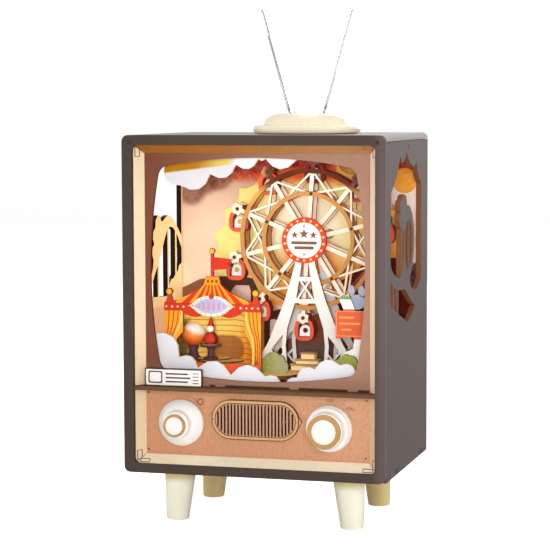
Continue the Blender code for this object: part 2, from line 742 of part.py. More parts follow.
def block(name, size, finish, place):
    """A plain box of the given size, about its centre."""
    shape = bmesh.new()
    bmesh.ops.create_cube(shape, size=1.0)
    bmesh.ops.scale(shape, verts=shape.verts, vec=Vector(size) * MM)
    mesh = bpy.data.meshes.new(name)
    shape.to_mesh(mesh)
    shape.free()
    return add_part(name, mesh, finish, place)


def rod(name, radius, start, end, steps, finish, place, turn=LYING_FLAT):
    """A straight round bar along its own z, from start to end."""
    profile = [(0, end), (radius, end), (radius, start), (0, start)]
    return turned(name, profile, steps, finish, place, turn)


def soften(part, width, segments=2):
    edges = part.modifiers.new("rounded_edges", "BEVEL")
    edges.width = width * MM
    edges.segments = segments
    edges.limit_method = "ANGLE"
    return part


def gear_outline(teeth, phase, bore_steps=0):
    """Outline of an involute gear with one tooth centred at the phase angle."""
    pitch = GEAR_MODULE * teeth / 2
    base = pitch * math.cos(PRESSURE_ANGLE)
    root = pitch - DEDENDUM * GEAR_MODULE
    tip = pitch + ADDENDUM * GEAR_MODULE
    half_at_pitch = math.pi / (2 * teeth) - GEAR_BACKLASH / (2 * pitch)
    swing = math.tan(PRESSURE_ANGLE) - PRESSURE_ANGLE

    def half_angle(radius):
        slope = math.acos(base / max(radius, base))
        return half_at_pitch + swing - (math.tan(slope) - slope)

    radii = (root, pitch, tip)
    points = []
    for tooth in range(teeth):
        centre = phase + TURN * tooth / teeth
        for radius in radii:
            angle = centre - half_angle(radius)
            points.append((radius * math.cos(angle), radius * math.sin(angle)))
        for radius in reversed(radii):
            angle = centre + half_angle(radius)
            points.append((radius * math.cos(angle), radius * math.sin(angle)))
    return points


def gear_windows(pitch, rim, hub, phase):
    """Rounded openings that lighten a gear between its hub and its rim."""
    windows = []
    outer = pitch - rim
    for i in range(GEAR_WINDOWS):
        middle = phase + TURN * i / GEAR_WINDOWS
        half = 0.36 * TURN / GEAR_WINDOWS
        top = arc((0, 0), outer, middle - half, middle + half, 4)
        bottom = arc((0, 0), hub, middle + half * 0.7, middle - half * 0.7, 2)
        windows.append(top + bottom)
    return windows


# Case

def build_front_frame():
    edge = rounded_box(-HALF_WIDTH, HALF_WIDTH, 0, CASE_HEIGHT, CORNER_RADIUS)
    opening = rounded_box(-OPENING_HALF, OPENING_HALF, FRAME_BOTTOM, OPENING_TOP, OPENING_RADIUS)
    pin_x = HALF_WIDTH - PIN_HOLE_INSET
    pin_height = CASE_HEIGHT - PIN_HOLE_INSET + 0.6
    holes = [circle((side * pin_x, pin_height), PIN_HOLE_RADIUS, 8) for side in (-1, 1)]
    front_plate("front_frame", [edge, opening] + holes, 0, PLY, "grey_ply")


def build_top_panel():
    quarter = math.pi / 2
    inset = HALF_WIDTH - CORNER_RADIUS
    crown = CASE_HEIGHT - CORNER_RADIUS
    edge = [(-HALF_WIDTH, TOP_UNDERSIDE), (HALF_WIDTH, TOP_UNDERSIDE)]
    edge += arc((inset, crown), CORNER_RADIUS, 0, quarter, 4)[1:]
    edge += arc((-inset, crown), CORNER_RADIUS, quarter, 2 * quarter, 4)[:-1]
    front_plate("top_panel", [edge], BEHIND_FRAME, CASE_DEPTH - BEHIND_FRAME, "grey_ply")


def build_bottom_panel():
    """The floor of the case, with two tabs on each side that fill notches in the side panels."""
    edge = [(-INNER_HALF, BEHIND_FRAME), (INNER_HALF, BEHIND_FRAME)]
    tabs = []
    for depth in TAB_DEPTHS:
        near = depth - TAB_LENGTH / 2
        far = depth + TAB_LENGTH / 2
        tabs += [(INNER_HALF, near), (HALF_WIDTH, near), (HALF_WIDTH, far), (INNER_HALF, far)]
    edge += tabs
    edge += [(INNER_HALF, CASE_DEPTH), (-INNER_HALF, CASE_DEPTH)]
    edge += [(-x, depth) for x, depth in reversed(tabs)]
    sockets = [
        circle(place, FOOT_SPIGOT_RADIUS + GAP, 12) for place in FOOT_PLACES
    ]
    floor_plate("bottom_panel", [edge] + sockets, 0, PLY, "grey_ply")


def side_outline():
    edge = [(BEHIND_FRAME, 0)]
    for depth in TAB_DEPTHS:
        near = depth - TAB_LENGTH / 2 - GAP
        far = depth + TAB_LENGTH / 2 + GAP
        edge += [(near, 0), (near, PLY + GAP), (far, PLY + GAP), (far, 0)]
    edge += [(CASE_DEPTH, 0), (CASE_DEPTH, INNER_TOP), (BEHIND_FRAME, INNER_TOP)]
    return edge


def side_windows(sill, spans):
    """A panel's window above its roller coaster track, and the openings between the posts."""
    edge = side_places(sill)
    for curve in SIDE_WINDOW_CROWN:
        start, control, end = side_places(curve)
        if math.dist(edge[-1], start) > 1e-3:
            edge.append(start)
        edge += bend(start, control, end, 3)
    return [edge] + [side_places(span) for span in spans]


def side_place(share):
    """A place on a side panel, from shares of the case's depth and height."""
    return share[0] * CASE_DEPTH, share[1] * CASE_HEIGHT


def side_places(shares):
    return [side_place(share) for share in shares]


def build_side_panels():
    slot_width, slot_height = SIDE_SLOT_SIZE
    slot_top = INNER_TOP - 2.0
    slot = box_outline(
        SIDE_SLOT_DEPTH, SIDE_SLOT_DEPTH + slot_width, slot_top - slot_height, slot_top
    )
    middle = HALF_WIDTH - PLY / 2
    left = side_windows(LEFT_WINDOW_SILL, LEFT_WINDOW_SPANS)
    right = side_windows(RIGHT_WINDOW_SILL, RIGHT_WINDOW_SPANS)
    side_plate("left_side_panel", [side_outline()] + left + [slot], -middle, PLY, "grey_ply")
    side_plate("right_side_panel", [side_outline()] + right + [slot], middle, PLY, "grey_ply")


def build_back_panel():
    edge = box_outline(-INNER_HALF, INNER_HALF, PLY + GAP, INNER_TOP)
    holes = [
        circle(WHEEL_CENTRE, AXLE_HOLE, 16),
        circle(IDLER_CENTRE, IDLER_HOLE, 16),
        circle(MOVEMENT_CENTRE, KEY_HOLE_RADIUS, 20),
        circle(MUSIC_KNOB, STOP_ROD_RADIUS + RUNNING_GAP, 12),
    ]
    front_plate("back_panel", [edge] + holes, BACK_FRONT, PLY, "grey_ply")


# Bezel, mask, shelf and control panel

def build_bezel():
    """Four sloped mouldings with mitred ends, and a notch in the upright ones for the shelf."""
    middle = (FRAME_BOTTOM + OPENING_TOP) / 2
    half_height = (OPENING_TOP - FRAME_BOTTOM) / 2
    section = [(0, 0), (BEZEL_LIP, 0), (BEZEL_LIP, -BEZEL_DEPTH + GAP), (-BEZEL_INSET, -BEZEL_DEPTH + GAP)]
    centre = at(0, BEHIND_FRAME, middle)
    strips = (
        ("bezel_right", 0.0, OPENING_HALF, half_height),
        ("bezel_top", -math.pi / 2, half_height, OPENING_HALF),
        ("bezel_left", math.pi, OPENING_HALF, half_height),
        ("bezel_bottom", math.pi / 2, half_height, OPENING_HALF),
    )
    for name, angle, reach, half_length in strips:
        outline = [(x + reach, y) for x, y in section]
        length = 2 * (half_length + BEZEL_LIP + 1)
        moulding = baked(plate(name, [outline], length, "light_wood", centre, LYING_FLAT))
        mitre(moulding.data, reach, half_length)
        turn = Matrix.Rotation(angle, 4, "Y")
        flip = Matrix.Scale(-1, 4, (0, 1, 0))
        moulding.data.transform(turn @ flip)
        moulding.data.flip_normals()
        if name in ("bezel_left", "bezel_right"):
            side = 1 if name == "bezel_right" else -1
            notch_width = OPENING_HALF + 10
            notch = block(
                name + "_notch",
                (notch_width, 2 * PANEL_FRONT, THIN_PLY + 2 * GAP),
                "light_wood",
                at(side * (OPENING_HALF + GAP - notch_width / 2), 0, SHELF_HEIGHT + THIN_PLY / 2),
            )
            cut(moulding, notch)


def mitre(mesh, reach, half_length):
    """Cut both ends of a moulding at 45 degrees through the corner of the opening."""
    shape = bmesh.new()
    shape.from_mesh(mesh)
    for end in (-1, 1):
        point = Vector((reach * MM, 0, end * (half_length * MM)))
        normal = Vector((-1, 0, end)).normalized()
        point -= normal * MITRE_GAP * MM / 2
        geometry = shape.verts[:] + shape.edges[:] + shape.faces[:]
        result = bmesh.ops.bisect_plane(
            shape, geom=geometry, plane_co=point, plane_no=normal, clear_outer=True
        )
        rim = [item for item in result["geom_cut"] if isinstance(item, bmesh.types.BMEdge)]
        bmesh.ops.edgenet_fill(shape, edges=rim)
    bmesh.ops.recalc_face_normals(shape, faces=shape.faces)
    shape.to_mesh(mesh)
    shape.free()


def mask_window():
    """A television screen's outline: four bulged sides joined by soft corners."""
    half_w, half_h = MASK_WINDOW_HALF
    corner = MASK_WINDOW_CORNER
    bulge = MASK_WINDOW_BULGE
    steps = 6
    quarter = []
    for i in range(steps + 1):
        z = (half_h - corner) * i / steps
        quarter.append((half_w - bulge * (i / steps) ** 2, z))
    top = (half_w - corner, half_h - bulge)
    control = (half_w - bulge - 1.0, half_h - bulge - 1.0)
    quarter += bend(quarter[-1], control, top, 3)
    for i in range(steps - 1, -1, -1):
        x = (half_w - corner) * i / steps
        quarter.append((x, half_h - bulge * (i / steps) ** 2))
    half = quarter + [(-x, y) for x, y in reversed(quarter[:-1])]
    full = half + [(x, -y) for x, y in reversed(half[1:-1])]
    return moved(full, 0.0, MASK_WINDOW_HEIGHT)


def build_mask():
    edge = box_outline(-INNER_HALF, INNER_HALF, FLOOR_LINE, INNER_TOP)
    front_plate("screen_mask", [edge, mask_window()], PANEL_FRONT, THIN_PLY, "mask_ply")


def build_shelf():
    tongue = OPENING_HALF
    edge = [
        (-tongue, SHELF_FRONT),
        (tongue, SHELF_FRONT),
        (tongue, PANEL_FRONT),
        (INNER_HALF, PANEL_FRONT),
        (INNER_HALF, SHELF_BACK),
        (-INNER_HALF, SHELF_BACK),
        (-INNER_HALF, PANEL_FRONT),
        (-tongue, PANEL_FRONT),
    ]
    floor_plate("shelf", [edge], SHELF_HEIGHT, THIN_PLY, "brown_ply")


def stadium(centre, half_length, half_height, steps=8):
    """An oblong with half-round ends."""
    quarter = math.pi / 2
    reach = half_length - half_height
    x, y = centre
    right = arc((x + reach, y), half_height, -quarter, quarter, steps)
    left = arc((x - reach, y), half_height, quarter, 3 * quarter, steps)
    return right + left


def build_control_panel():
    edge = box_outline(-INNER_HALF, INNER_HALF, PLY + GAP, SHELF_HEIGHT - GAP)
    bore = KNOB_SHAFT_RADIUS + RUNNING_GAP
    field_w, field_h = GRILLE_BAR_FIELD
    holes = [
        circle(LIGHT_KNOB, bore, 16),
        circle(MUSIC_KNOB, bore, 16),
        stadium(GRILLE_CENTRE, field_w, field_h),
    ]
    front_plate("control_panel", [edge] + holes, PANEL_FRONT, THIN_PLY, "copper_panel")


def build_speaker_grille():
    """An oblong plate with a pointed ear at each end and a field of upright slots."""
    half_w, half_h = GRILLE_HALF
    x, y = GRILLE_CENTRE
    quarter = math.pi / 2
    ear = math.radians(14)
    reach = half_w - half_h
    edge = arc((x + reach, y), half_h, -quarter, -ear, 5)
    edge += [(x + GRILLE_EAR, y)]
    edge += arc((x + reach, y), half_h, ear, quarter, 5)
    edge += arc((x - reach, y), half_h, quarter, 2 * quarter - ear, 5)
    edge += [(x - GRILLE_EAR, y)]
    edge += arc((x - reach, y), half_h, 2 * quarter + ear, 3 * quarter, 5)
    field_w, field_h = GRILLE_BAR_FIELD
    slots = []
    for i in range(GRILLE_SLOTS):
        offset = (i - (GRILLE_SLOTS - 1) / 2) * GRILLE_SLOT_PITCH
        beyond = max(abs(offset) - (field_w - field_h), 0.0)
        height = math.sqrt(field_h ** 2 - beyond ** 2) - 0.2
        slots.append(
            box_outline(
                x + offset - GRILLE_SLOT_WIDTH / 2,
                x + offset + GRILLE_SLOT_WIDTH / 2,
                y - height,
                y + height,
            )
        )
    depth = PANEL_FRONT - GAP - GRILLE_THICKNESS
    front_plate("speaker_grille", [edge] + slots, depth, GRILLE_THICKNESS, "light_wood")


# Knobs and what they work

def build_knob(name, centre, skirt, neck, cap, reach):
    """A turned skirt on its shaft, with a separate cap let into its front."""
    face = reach + PANEL_FRONT
    shoulder = 0.42 * face
    behind = -(THIN_PLY + KNOB_SHAFT_LENGTH)
    profile = [
        (0, face - CAP_THICKNESS - GAP),
        (neck - 0.5, face - CAP_THICKNESS - GAP),
        (neck, face - CAP_THICKNESS - GAP - 0.5),
        (neck + 0.3, shoulder + 1.0),
        (neck + 0.9, shoulder),
        (skirt - 0.9, GAP + 2.6),
        (skirt - 0.1, GAP + 1.8),
        (skirt, GAP + 0.9),
        (skirt, GAP),
        (KNOB_SHAFT_RADIUS, GAP),
        (KNOB_SHAFT_RADIUS, behind),
        (0, behind),
    ]
    place = at(centre[0], PANEL_FRONT, centre[1])
    smooth(turned(name + "_skirt", profile, 24, "pearl_white", place, AXIS_TO_FRONT))
    cap_profile = [
        (0, face),
        (cap - 0.6, face),
        (cap, face - 0.5),
        (cap, face - CAP_THICKNESS),
        (0, face - CAP_THICKNESS),
    ]
    smooth(turned(name + "_cap", cap_profile, 24, "light_wood", place, AXIS_TO_FRONT))


def build_knobs():
    build_knob(
        "light_knob", LIGHT_KNOB, LIGHT_SKIRT_RADIUS, LIGHT_NECK_RADIUS, LIGHT_CAP_RADIUS,
        LIGHT_KNOB_REACH,
    )
    build_knob(
        "music_knob", MUSIC_KNOB, MUSIC_SKIRT_RADIUS, MUSIC_NECK_RADIUS, MUSIC_CAP_RADIUS,
        MUSIC_KNOB_REACH,
    )


def build_light_switch():
    """The rotary switch behind the panel, which the light knob's shaft enters."""
    bore = KNOB_SHAFT_RADIUS + RUNNING_GAP
    floor = -(KNOB_SHAFT_LENGTH + 0.5)
    profile = [
        (SWITCH_RADIUS, -GAP),
        (SWITCH_RADIUS, -SWITCH_LENGTH),
        (0, -SWITCH_LENGTH),
        (0, floor),
        (bore, floor),
        (bore, -GAP),
    ]
    ring = [profile[0], profile[1], profile[2]]
    inside = [profile[3], profile[4], profile[5]]
    place = at(LIGHT_KNOB[0], PANEL_BACK, LIGHT_KNOB[1])
    smooth(turned("light_switch", inside + ring, 16, "black_plastic", place, AXIS_TO_FRONT))


def build_stop_lever():
    """A sleeve on the music knob's shaft, a long rod to the back, and an arm by the governor."""
    bore = KNOB_SHAFT_RADIUS + RUNNING_GAP
    floor = -(KNOB_SHAFT_LENGTH + 0.5)
    end = -(AXLE_END - PANEL_BACK)
    profile = [
        (0, floor),
        (bore, floor),
        (bore, -GAP),
        (STOP_SLEEVE_RADIUS, -GAP),
        (STOP_SLEEVE_RADIUS, -STOP_SLEEVE_LENGTH),
        (STOP_ROD_RADIUS, -STOP_SLEEVE_LENGTH),
        (STOP_ROD_RADIUS, end),
        (0, end),
    ]
    place = at(MUSIC_KNOB[0], PANEL_BACK, MUSIC_KNOB[1])
    lever = baked(turned("stop_lever", profile, 16, "brass", place, AXIS_TO_FRONT))
    length, width, thickness = STOP_ARM
    arm_depth = GOVERNOR_FRONT - GAP - thickness
    outline = [(0, -width / 2), (0, width / 2), (-length + 2, width / 2 - 0.8), (-length, 0)]
    outline += [(-length + 2, -width / 2 + 0.8)]
    middle = at(MUSIC_KNOB[0], arm_depth + thickness / 2, MUSIC_KNOB[1])
    arm = baked(plate("stop_arm", [outline], thickness, "brass", middle))
    joined(lever, arm)


GOVERNOR_FRONT = DRUM_DEPTH - DRUM_RADIUS


# Feet

def build_feet():
    """Turned cones with a spigot, leaning outwards, with flat tops and bottoms."""
    for name, (x, depth) in zip(FOOT_NAMES, FOOT_PLACES):
        bottom = -LEG_HEIGHT
        profile = [
            (0, FOOT_SPIGOT_LENGTH),
            (FOOT_SPIGOT_RADIUS, FOOT_SPIGOT_LENGTH),
            (FOOT_SPIGOT_RADIUS, -GAP),
            (FOOT_TOP_RADIUS, -GAP),
            (FOOT_BOTTOM_RADIUS, bottom + FOOT_EDGE),
            (FOOT_BOTTOM_RADIUS - 0.3 * FOOT_EDGE, bottom + 0.3 * FOOT_EDGE),
            (FOOT_BOTTOM_RADIUS - FOOT_EDGE, bottom),
            (0, bottom),
        ]
        foot = baked(turned(name, profile, 20, "ivory", at(x, depth, 0)))
        outward = math.copysign(FOOT_SPLAY, x)
        for corner in foot.data.vertices:
            if corner.co.z < 0:
                corner.co.x += outward * MM * (corner.co.z / (bottom * MM))
        smooth(foot)


# Antennas

def antenna_pivot(side):
    """Place of an antenna's tilting pivot: side is 0 for the left one and 1 for the right."""
    offset = (side - 0.5) * ANTENNA_SPACING
    top = CASE_HEIGHT + GAP + ANTENNA_DISC_HEIGHT + ANTENNA_DOME_HEIGHT
    return ANTENNA_BASE_X + offset, ANTENNA_BASE_DEPTH, top - PIVOT_BELOW_TOP


def build_antenna_base():
    """A low disc with a dome on it, slotted where the two antennas tilt."""
    shoulder = ANTENNA_DISC_HEIGHT
    top = shoulder + ANTENNA_DOME_HEIGHT
    disc = ANTENNA_DISC_RADIUS
    edge = ANTENNA_DISC_EDGE
    dome = ANTENNA_DOME_RADIUS
    profile = [
        (0, top),
        (ANTENNA_DOME_FLAT, top),
        (ANTENNA_DOME_FLAT + 0.45 * (dome - ANTENNA_DOME_FLAT), top - 0.9),
        (ANTENNA_DOME_FLAT + 0.8 * (dome - ANTENNA_DOME_FLAT), top - 2.8),
        (dome, shoulder + 0.4),
        (dome, shoulder),
        (disc - edge, shoulder),
        (disc - 0.45 * edge, shoulder - 0.17 * edge),
        (disc - 0.12 * edge, shoulder - 0.55 * edge),
        (disc, shoulder / 2),
        (disc - 0.12 * edge, 0.55 * edge),
        (disc - 0.45 * edge, 0.17 * edge),
        (disc - edge, 0),
        (0, 0),
    ]
    place = at(ANTENNA_BASE_X, ANTENNA_BASE_DEPTH, CASE_HEIGHT + GAP)
    base = baked(turned("antenna_base", profile, 36, "ivory", place))
    width = ANTENNA_TUBE_RADIUS + GAP
    for side in (0, 1):
        x, depth, height = antenna_pivot(side)
        outward = -1 if side == 0 else 1
        low = height - SLOT_FLOOR
        high = height + PIVOT_BELOW_TOP + 1
        reach = (SLOT_OUTWARD + SLOT_INWARD) / 2
        shift = outward * (SLOT_OUTWARD - SLOT_INWARD) / 2
        slot = block(
            "antenna_slot_" + str(side),
            (2 * reach, 2 * width, high - low),
            "ivory",
            at(x + shift, depth, (low + high) / 2),
        )
        pin_reach = width + PIVOT_PIN_REACH + GAP
        hole = rod(
            "antenna_pin_hole_" + str(side), PIVOT_PIN_RADIUS + RUNNING_GAP, -pin_reach, pin_reach,
            12, "ivory", at(x, depth, height), AXIS_TO_FRONT,
        )
        cut(base, slot, hole)


def build_antennas():
    """Each antenna is a tube that tilts on a cross pin, with a rod that slides in it."""
    for side, label in ((0, "left"), (1, "right")):
        place = at(*antenna_pivot(side))
        lean = (0.0, math.radians(ANTENNA_LEAN[side]), 0.0)
        length = ANTENNA_TUBE_LENGTHS[side]
        radius = ANTENNA_TUBE_RADIUS
        floor = length - ANTENNA_BORE_DEPTHS[side]
        profile = [
            (0, floor),
            (ANTENNA_BORE_RADIUS, floor),
            (ANTENNA_BORE_RADIUS, length),
            (radius, length),
            (radius, 0),
        ]
        profile += [(radius * math.cos(a), -radius * math.sin(a)) for a in (0.55, 1.05)]
        profile += [(0, -radius)]
        tube = baked(turned("antenna_tube_" + label, profile, 16, "chrome", place, lean))
        pin_reach = radius + GAP + PIVOT_PIN_REACH
        pin = rod(
            "antenna_pin_" + label, PIVOT_PIN_RADIUS, -pin_reach, pin_reach, 12, "chrome", place,
            AXIS_TO_FRONT,
        )
        smooth(joined(tube, pin))
        tip = ANTENNA_TOTAL_LENGTH
        cap = tip - ANTENNA_TIP_LENGTH
        rod_profile = [
            (0, tip),
            (ANTENNA_TIP_RADIUS - 0.5, tip),
            (ANTENNA_TIP_RADIUS, tip - 0.5),
            (ANTENNA_TIP_RADIUS, cap),
            (ANTENNA_ROD_RADIUS, cap),
            (ANTENNA_ROD_RADIUS, length - ANTENNA_OVERLAP),
            (0, length - ANTENNA_OVERLAP),
        ]
        smooth(turned("antenna_rod_" + label, rod_profile, 16, "chrome", place, lean))


ANTENNA_BORE_DEPTHS = tuple(length - 3.0 for length in ANTENNA_TUBE_LENGTHS)


# Ferris wheel

def polar(radius, angle):
    return radius * math.cos(angle), radius * math.sin(angle)


def spoke_angle(index):
    return WHEEL_PHASE + TURN * index / GONDOLAS


def lug(angle):
    """A small six-lobed plate at the end of a spoke, where a gondola hangs."""
    centre = polar(GONDOLA_PIVOT_RADIUS, angle)
    points = []
    for i in range(2 * LUG_LOBES):
        radius = LUG_RADII[i % 2]
        dx, dy = polar(radius, angle + math.pi * i / LUG_LOBES)
        points.append((centre[0] + dx, centre[1] + dy))
    return points


def wheel_pieces():
    pieces = []
    nodes = len(range(GONDOLAS))
    outer = sum(WHEEL_RIM) / 2
    inner = sum(WHEEL_INNER_RING) / 2
    for i in range(nodes):
        angle = spoke_angle(i)
        pieces.append(strip(polar(AXLE_HOLE, angle), polar(GONDOLA_PIVOT_RADIUS, angle), SPOKE_WIDTH))
        pieces.append(lug(angle))
        for neighbour in (-1, 1):
            pieces.append(
                strip(polar(outer, angle), polar(inner, spoke_angle(i + neighbour)), BRACE_WIDTH)
            )
    return pieces


def ring_sectors(radii, count, phase, steps):
    """A flat ring as sectors that share their ends, so that it can be merged with the spokes."""
    inner, outer = radii
    sectors = []
    for i in range(count):
        start = phase + TURN * i / count
        end = phase + TURN * (i + 1) / count
        sectors.append(arc((0, 0), outer, start, end, steps) + arc((0, 0), inner, end, start, steps))
    return sectors


def build_wheel_plate(name, depth, posts):
    half_step = math.pi / GONDOLAS
    pieces = wheel_pieces()
    pieces += ring_sectors(WHEEL_RIM, GONDOLAS, WHEEL_PHASE + half_step, 3)
    pieces += ring_sectors(WHEEL_INNER_RING, GONDOLAS, WHEEL_PHASE + half_step, 3)
    pieces.append(circle((0, 0), WHEEL_HUB_RADIUS, 16))
    holes = [circle((0, 0), AXLE_HOLE, 16)]
    for i in range(GONDOLAS):
        centre = polar(GONDOLA_PIVOT_RADIUS, spoke_angle(i))
        holes.append(circle(centre, PIVOT_RADIUS + RUNNING_GAP, 8))
    place = at(WHEEL_X, depth + WHEEL_PLATE / 2, WHEEL_HEIGHT)
    wheel = merged_plate(name, pieces, holes, WHEEL_PLATE, "wheel_wood", place)
    if posts:
        ring = sum(WHEEL_INNER_RING) / 2
        reach = WHEEL_REAR_DEPTH - WHEEL_FRONT_DEPTH - WHEEL_PLATE - GAP
        for i in range(CROSS_POSTS):
            x, z = polar(ring, spoke_angle(2 * i))
            post = rod(
                "cross_post_" + str(i), CROSS_POST_RADIUS, -WHEEL_PLATE / 2, reach, 8,
                "steel", at(WHEEL_X + x, depth, WHEEL_HEIGHT + z), AXIS_TO_FRONT,
            )
            joined(wheel, post)


def build_wheel_axle():
    """The axle through both wheel plates, with the driven gear fixed near its back end."""
    front = TOWER_FRONT_DEPTH + GAP
    place = at(WHEEL_X, 0, WHEEL_HEIGHT)
    collar = AXLE_RADIUS + 1.5
    profile = [
        (0, -front),
        (AXLE_RADIUS, -front),
        (AXLE_RADIUS, -(TOWER_FRONT_DEPTH + THIN_PLY + GAP)),
        (collar, -(TOWER_FRONT_DEPTH + THIN_PLY + GAP)),
        (collar, -(WHEEL_FRONT_DEPTH - GAP)),
        (AXLE_RADIUS, -(WHEEL_FRONT_DEPTH - GAP)),
        (AXLE_RADIUS, -(WHEEL_FRONT_DEPTH + WHEEL_PLATE + GAP)),
        (collar, -(WHEEL_FRONT_DEPTH + WHEEL_PLATE + GAP)),
        (collar, -(WHEEL_REAR_DEPTH - GAP)),
        (AXLE_RADIUS, -(WHEEL_REAR_DEPTH - GAP)),
        (AXLE_RADIUS, -AXLE_END),
        (0, -AXLE_END),
    ]
    axle = baked(turned("wheel_axle", profile, 16, "wheel_wood", place, AXIS_TO_FRONT))
    pitch = GEAR_MODULE * WHEEL_GEAR_TEETH / 2
    outlines = [gear_outline(WHEEL_GEAR_TEETH, TRAIN_ANGLE)]
    outlines += gear_windows(pitch, 2.6 * GEAR_MODULE, GEAR_HUB_RADIUS, TRAIN_ANGLE)
    middle = at(WHEEL_X, GEAR_DEPTH + GEAR_THICKNESS / 2, WHEEL_HEIGHT)
    gear = baked(plate("wheel_gear", outlines, GEAR_THICKNESS, "gear_wood", middle))
    joined(axle, gear)


def build_hub_sign():
    place = at(WHEEL_X, HUB_SIGN_DEPTH + THIN_PLY / 2, WHEEL_HEIGHT)
    edge = circle((0, 0), HUB_SIGN_RADIUS, 36)
    plate("hub_sign", [edge], THIN_PLY, "gondola_red", place)


def gondola_mesh():
    """One gondola: a pot-shaped box with an arched window through it, and a pin for its lugs."""
    half = GONDOLA_WIDTH / 2
    quarter = math.pi / 2
    neck = 3.0
    shoulder = 4.6
    edge = [(neck, 2.0), (-neck, 2.0), (-neck, -1.2), (-half + 1.0, -2.6)]
    edge += [(-half, -shoulder - 1.6), (-half, -GONDOLA_DROP + 4.2)]
    edge += arc((-half + 4.0, -GONDOLA_DROP + 4.0), 4.0, 2 * quarter, 3 * quarter, 3)[1:]
    edge += mirrored(edge[1:])
    seen = []
    for point in edge:
        if not seen or math.dist(point, seen[-1]) > 1e-3:
            seen.append(point)
    sill = -GONDOLA_DROP + GONDOLA_WALL
    inside = half - GONDOLA_WALL
    spring = -GONDOLA_SPRING
    window = [(-inside, sill), (inside, sill), (inside, spring)]
    window += arc((0, spring), inside, 0, math.pi, 6)[1:-1] + [(-inside, spring)]
    thickness = WHEEL_REAR_DEPTH - WHEEL_FRONT_DEPTH - WHEEL_PLATE - 2 * GONDOLA_SIDE_GAP
    origin = (0, 0, 0)
    body = baked(plate("gondola_body", [seen, window], thickness, "gondola_red", origin))
    reach = (WHEEL_REAR_DEPTH - WHEEL_FRONT_DEPTH + WHEEL_PLATE) / 2
    pin = rod("gondola_pin", PIVOT_RADIUS, -reach, reach, 8, "steel", origin, AXIS_TO_FRONT)
    joined(body, pin)
    finished = baked(body)
    mesh = finished.data
    mesh.transform(finished.matrix_world)
    parts.objects.unlink(finished)
    bpy.data.objects.remove(finished)
    return mesh


def build_gondolas():
    mesh = gondola_mesh()
    middle = (WHEEL_FRONT_DEPTH + WHEEL_REAR_DEPTH + WHEEL_PLATE) / 2
    for i in range(GONDOLAS):
        x, z = polar(GONDOLA_PIVOT_RADIUS, spoke_angle(i))
        add_part(
            "gondola_" + str(i + 1).zfill(2), mesh, "gondola_red",
            at(WHEEL_X + x, middle, WHEEL_HEIGHT + z),
        )


# Towers

def on_tower(points):
    """Places of a tower, from half widths and shares of the height up to the axle."""
    return [(x, FLOOR_LINE + share * TOWER_HEIGHT) for x, share in points]


def tower_pieces(braced):
    """One A-shaped tower about its own middle line, from overlapping bars."""
    outer = on_tower(TOWER_OUTER)
    inner = on_tower(TOWER_INNER)
    leg = [(1.0, WHEEL_HEIGHT), (4.0, WHEEL_HEIGHT - 2)] + outer + inner[::-1]
    strut = ribbon(on_tower(TOWER_STRUT), TOWER_STRUT_WIDTH)
    strut = [(x, max(z, FLOOR_LINE)) for x, z in strut]
    pieces = [leg, mirrored(leg), strut, mirrored(strut)]
    spans = []
    for share in TOWER_BARS:
        height = FLOOR_LINE + share * TOWER_HEIGHT
        span = tower_half(height, outer)
        spans.append((span, height))
        low = height - TOWER_BAR_WIDTH / 2
        pieces.append(box_outline(-span, span, low, low + TOWER_BAR_WIDTH))
    if braced:
        (top_half, top), (low_half, low) = spans
        pieces.append(strip((-top_half * 0.5, top), (low_half * 0.5, low), BRACE_WIDTH))
        pieces.append(strip((top_half * 0.5, top), (-low_half * 0.5, low), BRACE_WIDTH))
    for x0, share0, x1, share1 in TOWER_CROSS:
        (x0, z0), (x1, z1) = on_tower(((x0, share0), (x1, share1)))
        for side in (-1, 1):
            pieces.append(strip((side * x0, z0), (side * x1, z1), BRACE_WIDTH))
    pieces.append(circle((0, WHEEL_HEIGHT), TOWER_BOSS_RADIUS, 20))
    return pieces


def tower_half(height, outer):
    """Half the distance between the legs' middle lines at a height."""
    for (x0, z0), (x1, z1) in zip(outer, outer[1:]):
        if z1 <= height <= z0:
            return x0 + (x1 - x0) * (z0 - height) / (z0 - z1) - 1.5
    return outer[0][0] - 1.5


def build_towers():
    holes = [circle((0, WHEEL_HEIGHT), AXLE_HOLE, 16)]
    for name, depth, braced in (
        ("tower_front", TOWER_FRONT_DEPTH, True),
        ("tower_rear", TOWER_REAR_DEPTH, False),
    ):
        place = at(WHEEL_X, depth + THIN_PLY / 2, 0)
        merged_plate(name, tower_pieces(braced), holes, THIN_PLY, "white_ply", place)


# Circus tent

